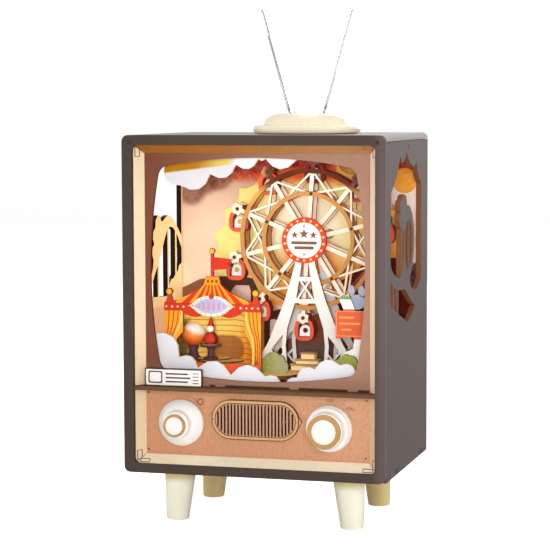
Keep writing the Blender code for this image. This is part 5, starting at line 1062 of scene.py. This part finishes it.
# Painted shade: gondolas near the top of the wheel darken to maroon, in the shade under the case top.
gondola.zone((92, 22, 18), (10, 0, 152), (80, 80, 190), 6.0, 0.9)
gondola.cut_edges((134, 44, 32))
GONDOLA_PRINT_AND_SHADE = gondola.done()
SEAT = [(-3.3, 0), (3.3, 0)] + arc((0, 3.2), 3.3, 0, 180, 12)
SEAT_OPENING = circle((0, 3.4), 1.5, 16)
for i in range(1, GONDOLA_COUNT + 1):
    name = "gondola_" + str(i).zfill(2)
    dress(GONDOLA_PRINT_AND_SHADE, name)
    centre, sill = middle(name), low(name).z + 2.3
    outlines = [shifted(SEAT, centre.x, sill), shifted(SEAT_OPENING, centre.x, sill)]
    piece(name + "_seat", front_shape(outlines, 1.0, centre.y), WHITE_PRINT, name)


# Circus tent: striped roof, red pole and flag, amber curtains and a red skirt

tent = Finish("printed tent", (248, 160, 48), 0.55)
tent.slope((240, 130, 30), (0, 0, 76), (0, 0, 58))
stripes = tent.effect("rays", centre_x=TENT_X, centre_height=111.0, count=25.0, share=0.55)
roof_part = tent.effect("zone", low=(-80, -50, 93.6), high=(80, 200, 104.9), softness=0.2)
tent.paint(tent.both(stripes, roof_part), (218, 58, 18))
tent.zone((232, 146, 34), (-80, -50, 104.7), (80, 200, 109.6), 0.1)
tent.zone((206, 52, 32), (-80, -50, 109.4), (80, 200, 123.0), 0.1)
POLE_OFFSET = 25.4
for x in (TENT_X - POLE_OFFSET, TENT_X + POLE_OFFSET):
    tent.zone((206, 62, 36), (x - 4, -50, 94.2), (x + 4, 200, 99.6), 0.2)
tent.zone(RED, (-80, -50, 89.8), (80, 200, 94.2), 0.1)
tent.zone((234, 92, 56), (-80, -50, 40), (80, 200, 60.4), 0.2)
tent.cut_edges((128, 62, 26))
dress(tent.done(), "tent_front")

TENT_HALF = 28.4
SIGN_HEIGHT = 92.9
valance = rectangle(TENT_X - TENT_HALF, TENT_X + TENT_HALF, 90.3, 94.0)
front_plate("tent_valance", [valance], TENT_FACE - 0.6, 0.6, RED_PRINT, 0.1)
board = shifted(lens(13.9, 5.9), TENT_X, SIGN_HEIGHT)
front_plate("tent_sign", [board], TENT_FACE - 1.5, 0.9, CREAM_PRINT, 0.12)
lilac = Finish("lilac print", (172, 178, 216), 0.5)
lilac.slope((190, 190, 224), (TENT_X - 10, 0, 96), (TENT_X + 12, 0, 90))
lilac.speckle((170, 180, 216), 0.8, 0.25, 0.01)
lilac.cut_edges((120, 110, 130))
field = shifted(lens(11.4, 4.3), TENT_X, SIGN_HEIGHT)
front_plate("tent_sign_field", [field], TENT_FACE - 1.7, 0.2, lilac.done())
dot_profile = [(0.42, 0), (0.3, 0.15), (0, 0.2)]
dots = []
for x, height in shifted(lens(12.7, 5.1, 7), TENT_X, SIGN_HEIGHT):
    dots.append(front_turned(dot_profile, 8, x, TENT_FACE - 1.5, height))
piece("tent_sign_dots", dots, plain["amber brown dot"])
sign_bars = []
for i, half in enumerate((1.2, 2.1, 2.5, 2.5, 2.1, 1.2)):
    x = TENT_X - 7.5 + 3.0 * i
    bar = rounded(x - 0.85, x + 0.85, SIGN_HEIGHT - half, SIGN_HEIGHT + half, 0.6, 3)
    sign_bars.append(front_shape([bar], SIGN_MARK, TENT_FACE - 1.74))
piece("tent_sign_bars", sign_bars, plain["rose print"])
knot = circle((TENT_X, SIGN_HEIGHT + 5.4), 1.5, 20)
front_plate("tent_sign_knot", [knot], TENT_FACE - 1.9, 0.4, RED_PRINT, 0.1)

BEHIND_SIGN = 14.2
VALANCE_MARKS = 17
FIRST_MARK = -27.0
MARK_STEP = 3.375
FLAT_MARK = 0.12
marks = []
for i in range(VALANCE_MARKS):
    x = FIRST_MARK + i * MARK_STEP
    if abs(x) > BEHIND_SIGN:
        outline = star(1.0, 4, 0.34) if i % 2 else circle((0, 0), 0.5, 12)
        marks.append(front_shape([outline], FLAT_MARK, TENT_FACE - 0.62, 0.0, TENT_X + x, 92.1))
piece("tent_valance_marks", marks, CREAM_PRINT)


def curtain_line(side, reaches, bend_heights, foot_height, sag):
    """The line of a curtain that is tied in the middle; reaches are at its top, tie and foot."""
    top, tie, foot_x = (side * reach for reach in reaches)
    line = bend((top, 90), (top, bend_heights[0]), (tie, 76), 6)
    return line + bend((tie, 76), (tie + side * sag, bend_heights[1]), (foot_x, foot_height), 6)[1:]


swags, folds, hems = [], [], []
for side, width in ((-1, 11.0), (1, 9.2)):
    outline = bend((side * 2.0, 90.4), (side * 9.5, 82.4), (side * 18.8, 90.4), 12)
    swags.append(front_shape([shifted(outline, TENT_X, 0)], 0.5, TENT_FACE - 0.3))
    for share in (0.25, 0.5, 0.75):
        reaches = (TENT_HALF - width * share, TENT_HALF - width * share * 0.55, TENT_HALF - 4.2 * share)
        line = curtain_line(side, reaches, (82, 68), 60.6, 1.2)
        folds.append(front_shape([shifted(band(line, 0.55), TENT_X, 0)], FLAT_MARK, TENT_FACE - 0.06))
    reaches = (TENT_HALF - width + 0.5, TENT_HALF - width * 0.56, TENT_HALF - 4.6)
    line = curtain_line(side, reaches, (83, 70), 60.0, 1.0)
    hems.append(front_shape([shifted(band(line, 1.1), TENT_X, 0)], 0.4, TENT_FACE - 0.15))
piece("tent_swags", swags, RED_PRINT)
piece("tent_curtain_folds", folds, plain["curtain fold print"])
piece("tent_curtain_hems", hems, plain["curtain hem print"])

finials = []
for x, height, radius in ((-POLE_OFFSET, 100.5, 2.1), (POLE_OFFSET, 100.5, 2.1), (0, 123.8, 1.8)):
    finials.append(ball((TENT_X + x, TENT_FACE + 0.6, height), radius, 20))
piece("tent_finials", finials, plain["amber print"])
cap_dot = [(0.75, 0), (0.65, 0.2), (0, 0.3)]
cap_dots = [front_turned(cap_dot, 12, TENT_X + x, TENT_FACE, 106.8) for x in (-2.5, 0.0, 2.5)]
piece("tent_cap_dots", cap_dots, plain["brown print"])

# Yellow curved wall, orange at the right, shaded at the left and brown low in the middle
wall = Finish("printed tent wall", (246, 212, 106), 0.55)
wall.slope((238, 150, 44), (TENT_X + 4, 0, 84), (TENT_X + 18, 0, 66))
wall.ring((150, 94, 48), (TENT_X + 4.0, 67.0), FROM_MIDDLE, 7.6, 2.0, 3.0, 0.85)
wave = node(wall.tree, "TexWave", place_in_mm(wall.tree), 0.1, 2.0, 2.0, 0.8, bands_direction="Z")
lines = eased(wall.tree, wave.outputs["Fac"], 0.9, 0.98)
upright = wall.effect("laser cut edge", facing=UPWARDS)
wall.paint(wall.both(lines, upright), (138, 96, 40), 0.7)
wall.zone((60, 26, 14), (-60, 20, 60), (TENT_X - 17.5, 60, 84), 4.0, 0.85)
wall.paint(wall.effect("facing", direction=UPWARDS), (250, 210, 130))
wall.zone((90, 50, 26), (-80, 0, 57.5), (80, 22.6, 59.6), 0.1)
dress(wall.done(), "tent_back_wall")

stage = Finish("stage ply", (249, 214, 140), 0.5)
stage.grain((232, 184, 100), (0.2, 0.2, 1.0), 0.6, 0.3, 0.02)
stage.cut_edges((104, 62, 30), UPWARDS)
STAGE_PLY = stage.done()
STAGE_TOP = 60.0


def stage_disc(name, centre, radius, steps, foot_height, thickness):
    """A round lying plate, with its underside at the given height."""
    shape = filled([circle(centre, radius, steps)], thickness, 0.15)
    shape = moved(shape, (0, 0, foot_height + thickness / 2))
    piece(name, shape, STAGE_PLY)


stage_disc("stage_ring_low", (TENT_X + 0.5, 36.0), 14.2, 64, STAGE_TOP + 0.05, 1.1)
stage_disc("stage_ring_high", (TENT_X - 4.0, 34.5), 10.6, 48, STAGE_TOP + 1.15, 1.0)

TABLE = (TENT_X - 2.8, 26.0)
BALL = (TENT_X - 14.6, 30.5)
table_top = [(0, 0), (5.6, 0), (6.2, 0.4), (6.2, 1.2), (5.9, 1.5), (0, 1.5)]
table_leg = [(0, 0), (4.2, 0), (4.2, 0.8), (2.2, 1.6), (1.7, 4.0), (2.4, 6.4), (4.0, 7.1), (0, 7.1)]
table = [standing(table_top, 40, TABLE, 69.2), standing(table_leg, 40, TABLE, 62.1)]
piece("drum_table", table, plain["dark violet print"])
drum_skin = [(0, 0), (5.6, 0), (5.5, 0.2), (0, 0.25)]
piece("drum_skin", standing(drum_skin, 40, TABLE, 70.6), CREAM_PRINT)
tumbler = [(0, 0), (2.6, 0), (3.9, 1.2), (4.2, 3.0), (3.2, 5.4), (1.9, 6.8), (0, 7.2)]
piece("tumbler_body", standing(tumbler, 32, TABLE, 70.7), RED_PRINT)
piece("tumbler_head", ball((*TABLE, 79.4), 2.5, 24), WHITE_PRINT)
hat = [(0, 0), (2.0, 0), (1.7, 0.6), (0.5, 4.6), (0, 4.9)]
piece("tumbler_hat", standing(hat, 24, TABLE, 81.0), RED_PRINT)
ball_print = Finish("play ball print", (214, 62, 34), 0.4, coat_weight=0.3, coat_roughness=0.2)
ball_print.slope((246, 150, 70), (-48, 0, 71), (-45, 0, 79))
ball_print.slope((253, 246, 234), (-45, 0, 77.0), (-44, 0, 79.6))
ball_print.speckle((240, 130, 70), 0.6, 0.1, 0.0)
piece("play_ball", ball((*BALL, 75.4), 6.9, 40), ball_print.done())
ball_stand = [(0, 0), (4.2, 0), (4.2, 1.2), (3.0, 2.4), (2.4, 5.0), (3.2, 8.0), (0, 8.0)]
piece("ball_stand", standing(ball_stand, 32, BALL, 61.1), plain["dark violet print"])


# Bushes, steps, slide and balloons

bush_print = Finish("sage bush print", (148, 156, 82), 0.6)
bush_print.slope((166, 170, 124), (-1, 0, 0), (5, 0, 0))
bush_print.zone((158, 168, 74), (30, 0, 0), (90, 90, 80), 1.0)
spots = node(bush_print.tree, "TexVoronoi", place_in_mm(bush_print.tree), None, 0.42)
flowers = maths(bush_print.tree, "LESS_THAN", spots.outputs["Distance"], 0.16)
bush_print.paint(flowers, (238, 214, 96), 0.8)
bush_print.speckle((140, 146, 84), 1.0, 0.2, 0.02)
bush_print.cut_edges((86, 84, 48))
BUSH_PRINT = bush_print.done()
LOBE_DEPTH = 0.45


def bush(name, points, depth):
    """A bush cut from ply, its edge made of round lobes."""
    outline = []
    for start, end in zip(points, points[1:] + points[:1]):
        run = Vector(end) - Vector(start)
        out = Vector((run.y, -run.x)) * LOBE_DEPTH
        mid = (Vector(start) + Vector(end)) / 2 + out
        outline += bend(start, tuple(mid), end, 6)[:-1]
    front_plate(name, [outline], depth, 2.0, BUSH_PRINT, 0.15)


bush("bush_left", [(-6.2, 54.9), (10.4, 54.9), (11.4, 57.4), (9.6, 61.0), (6.6, 64.4), (1.4, 65.4),
                   (-2.6, 62.4), (-6.4, 58.4)], 33.0)
bush("bush_right", [(43.5, 52.0), (55.4, 52.0), (56.0, 58.5), (54.4, 63.4), (49.6, 67.0), (45.2, 66.2),
                    (42.6, 61.0)], 21.5)
BUSH_SPOT = (7.4, 29.5)
POST_HEIGHT = 4.0
stage_disc("bush_base", BUSH_SPOT, 9.8, 48, SHELF_TOP + POST_HEIGHT, 2.1)
post = [(0, 0), (3, 0), (3, POST_HEIGHT), (0, POST_HEIGHT)]
piece("bush_base_post", standing(post, 24, BUSH_SPOT, SHELF_TOP), STAGE_PLY)

TREAD = 1.0
TOP_STEP_FRONT = 41.0
STEP_GOING = 1.6
STEP_LENGTH = 6.0
risers, treads = [], []
for i, (half, top) in enumerate(((3.9, 65.4), (6.5, 61.8), (9.0, 59.2), (10.2, 55.6))):
    near = TOP_STEP_FRONT - STEP_GOING * i
    far = near + STEP_LENGTH
    risers.append(block(20.9 - half, 20.9 + half, near, far, SHELF_TOP, top - TREAD, 0.15))
    treads.append(block(20.4 - half, 21.4 + half, near - 0.5, far, top - TREAD, top, 0.15))
piece("entrance_steps", risers, plain["cream step print"])
piece("entrance_treads", treads, plain["tread print"])

violet = Finish("violet structure print", (124, 66, 46), 0.6)
violet.slope((104, 76, 72), (0, 0, 72), (0, 0, 64))
violet.zone((160, 172, 190), (0, 0, 70.5), (10.9, 90, 90), 1.0)
violet.speckle((130, 90, 80), 0.8, 0.12, 0.01)
violet.cut_edges((60, 36, 30))
station = [
    (3.0, SHELF_TOP), (38.0, SHELF_TOP), (38.0, 74.0), (33.0, 80.0), (20.5, 85.0), (8.0, 80.0), (3.0, 74.0)
]
front_plate("station_wall", [station], 64.0, 2.0, violet.done(), 0.1)

slide = Finish("slide print", (250, 248, 244), 0.5)
slide.speckle((238, 234, 228), 0.6, 0.12, 0.01)
slide.zone((222, 98, 66), (40, 0, 75.8), (61, 60, 92.6), 0.1)
slide.slope((222, 60, 40), (54, 0, 84), (60, 0, 84), 0.7)
for colour, bottom, top in (
    ((236, 190, 60), 99.8, 100.7), ((92, 166, 160), 98.9, 99.8), ((120, 160, 76), 98.0, 98.9)
):
    slide.zone(colour, (43, 0, bottom), (61, 60, top), 0.1)
slide.cut_edges((150, 130, 90))
dress(slide.done(), "slide_banner")
banner_outlines = [[rounded(41.6, 60.4, 77.4, 91.6, 1.0), rounded(42.1, 59.9, 77.9, 91.1, 0.8)]]
for left, right, bottom in ((43.4, 52.0, 87.4), (43.4, 55.6, 84.0), (44.6, 50.4, 80.6)):
    banner_outlines.append([rectangle(left, right, bottom, bottom + 1.1)])
banner_marks = [front_shape(outlines, FLAT_MARK, BANNER_FACE - 0.04) for outlines in banner_outlines]
piece("banner_marks", banner_marks, plain["banner mark print"])

balloon_print = Finish("blue grey balloon print", (160, 166, 192), 0.5)
balloon_print.slope((176, 172, 190), (0, 0, 96), (0, 0, 102))
balloon_print.speckle((176, 180, 204), 0.8, 0.15, 0.0)
balloon_print.cut_edges((110, 112, 134))
balloons = []
for x, height, half_x, half_z in ((53.2, 96.4, 4.6, 4.2), (49.8, 102.6, 1.9, 3.2), (55.6, 102.4, 1.9, 3.2)):
    outline = [(x + half_x * px, height + half_z * pz) for px, pz in circle((0, 0), 1.0, 28)]
    balloons.append(front_shape([outline], 1.0, BANNER_FACE + 3.0, 0.1))
piece("balloon_cluster", balloons, balloon_print.done())


# Flat buildings in front of the backdrop

arcade = [
    (-69.3, SHELF_TOP), (-69.3, 96.2), (-58.6, 101.4), (-46.4, 103.4), (-34.0, 103.6), (-26.0, 102.6),
    (-22.9, 96.7), (-22.0, 88.0), (-20.0, SHELF_TOP),
]
window_left = [(-50.5, 86.0), (-44.0, 86.0)] + arc((-47.25, 95.0), 3.25, 0, 180, 8)
window_right = [(-39.0, 86.0), (-26.5, 86.0), (-26.5, 95.0), (-27.5, 98.4), (-36.0, 98.4), (-39.0, 95.5)]
arcade_print = Finish("arcade print", (82, 50, 38), 0.6)
arcade_print.slope((146, 92, 66), (-46, 0, 0), (-60, 0, 0))
arcade_print.speckle((110, 72, 56), 0.8, 0.15, 0.01)
arcade_print.cut_edges((60, 34, 24))
ARCADE_PRINT = arcade_print.done()
PINK_PRINT = plain["pale pink print"]
front_plate("arcade_wall", [arcade, window_left, window_right], 88.0, 2.0, ARCADE_PRINT, 0.1)
front_plate("arcade_light", [rectangle(-52, -25.5, 85, 99.5)], 90.1, 0.4, PINK_PRINT)

hall = [
    (-19.0, SHELF_TOP), (-19.0, 80.0), (-14.0, 83.0), (-9.0, 84.5), (0.0, 88.0), (12.0, 90.5), (30.0, 90.0),
    (30.0, SHELF_TOP),
]
hall_windows = []
for left, right, top in ((-16.0, -10.5, 78.5), (-7.0, 2.0, 83.0), (7.0, 16.0, 85.0), (20.0, 27.0, 84.0)):
    hall_windows.append(rounded(left, right, 66.0, top, 2.2, 4))
front_plate("hall_wall", [hall, *hall_windows], 90.6, 2.0, ARCADE_PRINT, 0.1)
front_plate("hall_light", [rectangle(-17.5, 28.5, 64.0, 86.5)], 92.7, 0.4, PINK_PRINT)

roof_print = Finish("dark red roof print", (96, 26, 18), 0.6)
roof_print.zone((168, 92, 70), (27, 0, 96), (41, 100, 101.5), 2.0)
roof_print.speckle((116, 44, 32), 0.8, 0.2, 0.01)
roof_print.cut_edges((60, 24, 18))
roof = [(26.0, 60.0), (70.5, 60.0), (70.5, 116.0), (56.0, 116.5), (43.0, 113.0), (35.5, 106.5), (27.5, 101.5)]
front_plate("side_roof", [roof], 88.4, 2.0, roof_print.done(), 0.1)
ridge = band([(33.0, 92.0), (38.0, 101.0), (44.0, 108.0), (52.0, 112.5)], 3.4)
front_plate("side_roof_ridge", [ridge], 87.6, 0.7, plain["roof ridge print"], 0.1)


# Mechanism at the back

gear = Finish("gear ply", (214, 172, 120), 0.6)
gear.grain((186, 140, 88), (0.1, 1.0, 1.0), 0.7, 0.4, 0.03)
gear.cut_edges((88, 54, 32))
dress(gear.done(), "idler_gear")
dress(BRASS, "spring_barrel", "pin_drum", "winding_key", "stop_lever")
comb = Finish("brushed steel", (190, 190, 192), 0.35, metallic=1.0)
comb.grain((160, 160, 164), (0.1, 1.0, 1.0), 1.6, 0.4, 0.01)
dress(comb.done(), "movement_frame", "music_comb")
dress(plain["black plastic"], "light_switch", "battery_box")


# Small marks and nails on the front

frame_screw = [(0, 0), (1.05, 0), (1.0, 0.3), (0.7, 0.62), (0, 0.8)]
frame_screws = [front_turned(frame_screw, 20, x, 0.0, 185.1) for x in (-70.2, 70.2)]
piece("frame_screws", frame_screws, DARK_PRINT)
corner_nail = [(0, 0), (0.6, 0), (0.55, 0.2), (0, 0.35)]
grille_nail = [(0, 0), (0.5, 0), (0.45, 0.2), (0, 0.3)]
panel_nails = []
for x, height in ((62.7, 44.2), (62.2, 12.2), (-63.4, 12.0), (-63.4, 44.4)):
    panel_nails.append(front_turned(corner_nail, 16, x, PANEL_FACE, height))
for x in (GRILLE.x - 24.7, GRILLE.x + 24.7):
    panel_nails.append(front_turned(grille_nail, 16, x, low("speaker_grille").y, GRILLE.z))
piece("panel_nails", panel_nails, DARK_STEEL)


def word(letters, x, height, turn):
    """Plain letters as a flat mesh, seen from the front."""
    data = bpy.data.curves.new("word", "FONT")
    data.body = letters
    data.size = 2.6
    data.align_x = "CENTER"
    data.align_y = "CENTER"
    data.extrude = 0.03
    spin = Matrix.Rotation(math.radians(turn), 4, "Z")
    return moved(from_curve(data, 0.0005), (x, PANEL_FACE - 0.02, height), TO_FRONT @ spin)


PANEL_MARK = 0.08
MUSIC_DIAL = (41.8, 28.0)
LIGHT_DIAL = (-43.8, 28.0)
LAMP_MARK = (-32.7, PANEL_FACE, 40.0)
LAMP_RAYS = 8
switch_marks = [word("OFF", 42.0, 43.2, 0), word("ON", 53.5, 39.2, -8)]
dot_places = []
for i in range(4):
    dot_places.append((around(MUSIC_DIAL, 15.3, 74 - i * 8.5), 0.3))
for i in range(9):
    dot_places.append((around(LIGHT_DIAL, 15.4, 88 - i * 4.6), 0.16 + 0.03 * i))
for (x, height), radius in dot_places:
    outline = circle((0, 0), radius, 8)
    switch_marks.append(front_shape([outline], PANEL_MARK, PANEL_FACE, 0.0, x, height))
lamp_ring = filled([circle((0, 0), 1.8, 24), circle((0, 0), 1.15, 24)], PANEL_MARK)
switch_marks.append(moved(lamp_ring, LAMP_MARK, TO_FRONT))
for i in range(LAMP_RAYS):
    ray = filled([rectangle(2.0, 2.6, -0.22, 0.22)], PANEL_MARK)
    spin = Matrix.Rotation(TURN * i / LAMP_RAYS, 4, "Z")
    switch_marks.append(moved(ray, LAMP_MARK, TO_FRONT @ spin))
piece("switch_marks", switch_marks, plain["engraved mark"])


# Plaque on the shelf

plaque_frame = rounded(-64.0, -30.2, SHELF_TOP + 0.1, 58.8, 0.6)
plaque_field = rounded(-63.3, -30.9, SHELF_TOP + 0.8, 58.1, 0.4)
front_plate("plaque_back", [plaque_frame], 4.6, 1.0, DARK_PRINT)
front_plate("plaque_face", [plaque_field], 4.45, 0.3, WHITE_PRINT)
picture_frame = rounded(-61.8, -53.6, SHELF_TOP + 1.9, 57.2, 1.0)
picture_hole = rounded(-61.1, -54.3, SHELF_TOP + 2.6, 56.5, 0.7)
plaque_outlines = [[picture_frame, picture_hole]]
for i in range(3):
    right = -38.6 + 1.4 * (i % 2)
    plaque_outlines.append([rectangle(-51.6, right, 51.0 + 2.2 * i, 51.8 + 2.2 * i)])
for i in range(4):
    plaque_outlines.append([rectangle(-35.8, -32.2, 50.6 + 1.8 * i, 51.0 + 1.8 * i)])
plaque_marks = [front_shape(outlines, 0.1, 4.42) for outlines in plaque_outlines]
piece("plaque_marks", plaque_marks, DARK_PRINT)


# Floor, light and camera

WHITE = (1, 1, 1, 1)
WORLD_LIGHT = 0.14
FLOOR_GLOW = 0.77


def studio_floor():
    """A white floor that looks bright to the camera and lights nothing itself."""
    material = bpy.data.materials.new("studio floor")
    material.use_nodes = True
    tree = material.node_tree
    shader = tree.nodes["Principled BSDF"]
    shader.inputs["Base Color"].default_value = (0.93, 0.93, 0.93, 1)
    shader.inputs["Roughness"].default_value = 0.9
    shader.inputs["Emission Color"].default_value = WHITE
    camera_ray = node(tree, "LightPath").outputs["Is Camera Ray"]
    link(tree, times(tree, camera_ray, FLOOR_GLOW), shader.inputs["Emission Strength"])
    shape = bmesh.new()
    bmesh.ops.create_grid(shape, x_segments=1, y_segments=1, size=3.0)
    mesh_object("studio_floor", shape, material)


def studio_world():
    """White to the camera and in reflections, and a weak light on all else."""
    world = bpy.data.worlds.new("studio")
    bpy.context.scene.world = world
    world.use_nodes = True
    tree = world.node_tree
    background = tree.nodes["Background"]
    background.inputs["Color"].default_value = WHITE
    paths = node(tree, "LightPath").outputs
    seen = maths(tree, "MAXIMUM", paths["Is Camera Ray"], paths["Is Glossy Ray"])
    seen = maths(tree, "MAXIMUM", seen, paths["Is Transmission Ray"])
    strength = node(tree, "MapRange", seen, 0.0, 1.0, WORLD_LIGHT, 1.0).outputs[0]
    link(tree, strength, background.inputs["Strength"])


def lamp(name, kind, place, target, power, colour=(1, 1, 1), **settings):
    """A lamp that looks from its place at a target, in metres."""
    data = bpy.data.lights.new(name, kind)
    data.energy = power
    data.color = colour
    for key, value in settings.items():
        setattr(data, key, value)
    made = placed(name, data)
    made.location = place
    made.rotation_euler = (Vector(target) - Vector(place)).to_track_quat("-Z", "Y").to_euler()


def in_metres(x, depth, height):
    return FROM_MM @ Vector((x, depth, height))


def studio_lamps():
    """Wide soft lamps round the case, a dim one inside it and one through the screen window."""
    aim = (0.0, 0.0, 0.13)
    wide = (
        ("front", (0.3, -1.15, 0.34), 0.5, 7.2, (1.0, 0.985, 0.96)),
        ("key", (0.7, -0.9, 0.9), 0.9, 1.8, (1, 1, 1)),
        ("right", (1.25, 0.0, 0.5), 0.8, 5.2, (1, 1, 1)),
        ("left", (-1.25, -0.1, 0.5), 0.8, 6.5, (1, 1, 1)),
        ("back", (0.1, 1.3, 0.5), 0.9, 8.0, (1, 1, 1)),
        ("above", (0.05, 0.1, 1.4), 1.0, 6.5, (1, 1, 1)),
    )
    for name, place, size, power, colour in wide:
        lamp(name, "AREA", place, aim, power, colour, shape="RECTANGLE", size=size, size_y=size)
    lamp(
        "case_lamp", "AREA", in_metres(-5, 20, 183), in_metres(-5, 95, 90), 0.02, (1.0, 0.95, 0.86),
        shape="RECTANGLE", size=0.13, size_y=0.012,
    )
    lamp(
        "screen_spot", "SPOT", (0.27, -1.2, 0.22), in_metres(2, 25, 114), 27.0, (1.0, 0.98, 0.93),
        spot_size=math.radians(6.1), spot_blend=0.2, shadow_soft_size=0.05,
    )


def photo_camera():
    """The camera that was fitted to the case's corners in the photo."""
    data = bpy.data.cameras.new("photo camera")
    data.lens = 129.056
    data.sensor_width = 36
    data.clip_start = 0.01
    place = Vector((0.304507, -1.093104, 0.235917))
    target = Vector((0.013358, -0.06125, 0.142909))
    look = (target - place).to_track_quat("-Z", "Y").to_matrix().to_4x4()
    roll = Matrix.Rotation(math.radians(-0.173), 4, "Z")
    camera = placed("photo camera", data)
    camera.matrix_world = Matrix.Translation(place) @ look @ roll
    bpy.context.scene.camera = camera


studio_floor()
studio_world()
studio_lamps()
photo_camera()
bpy.context.scene.view_settings.view_transform = "Standard"
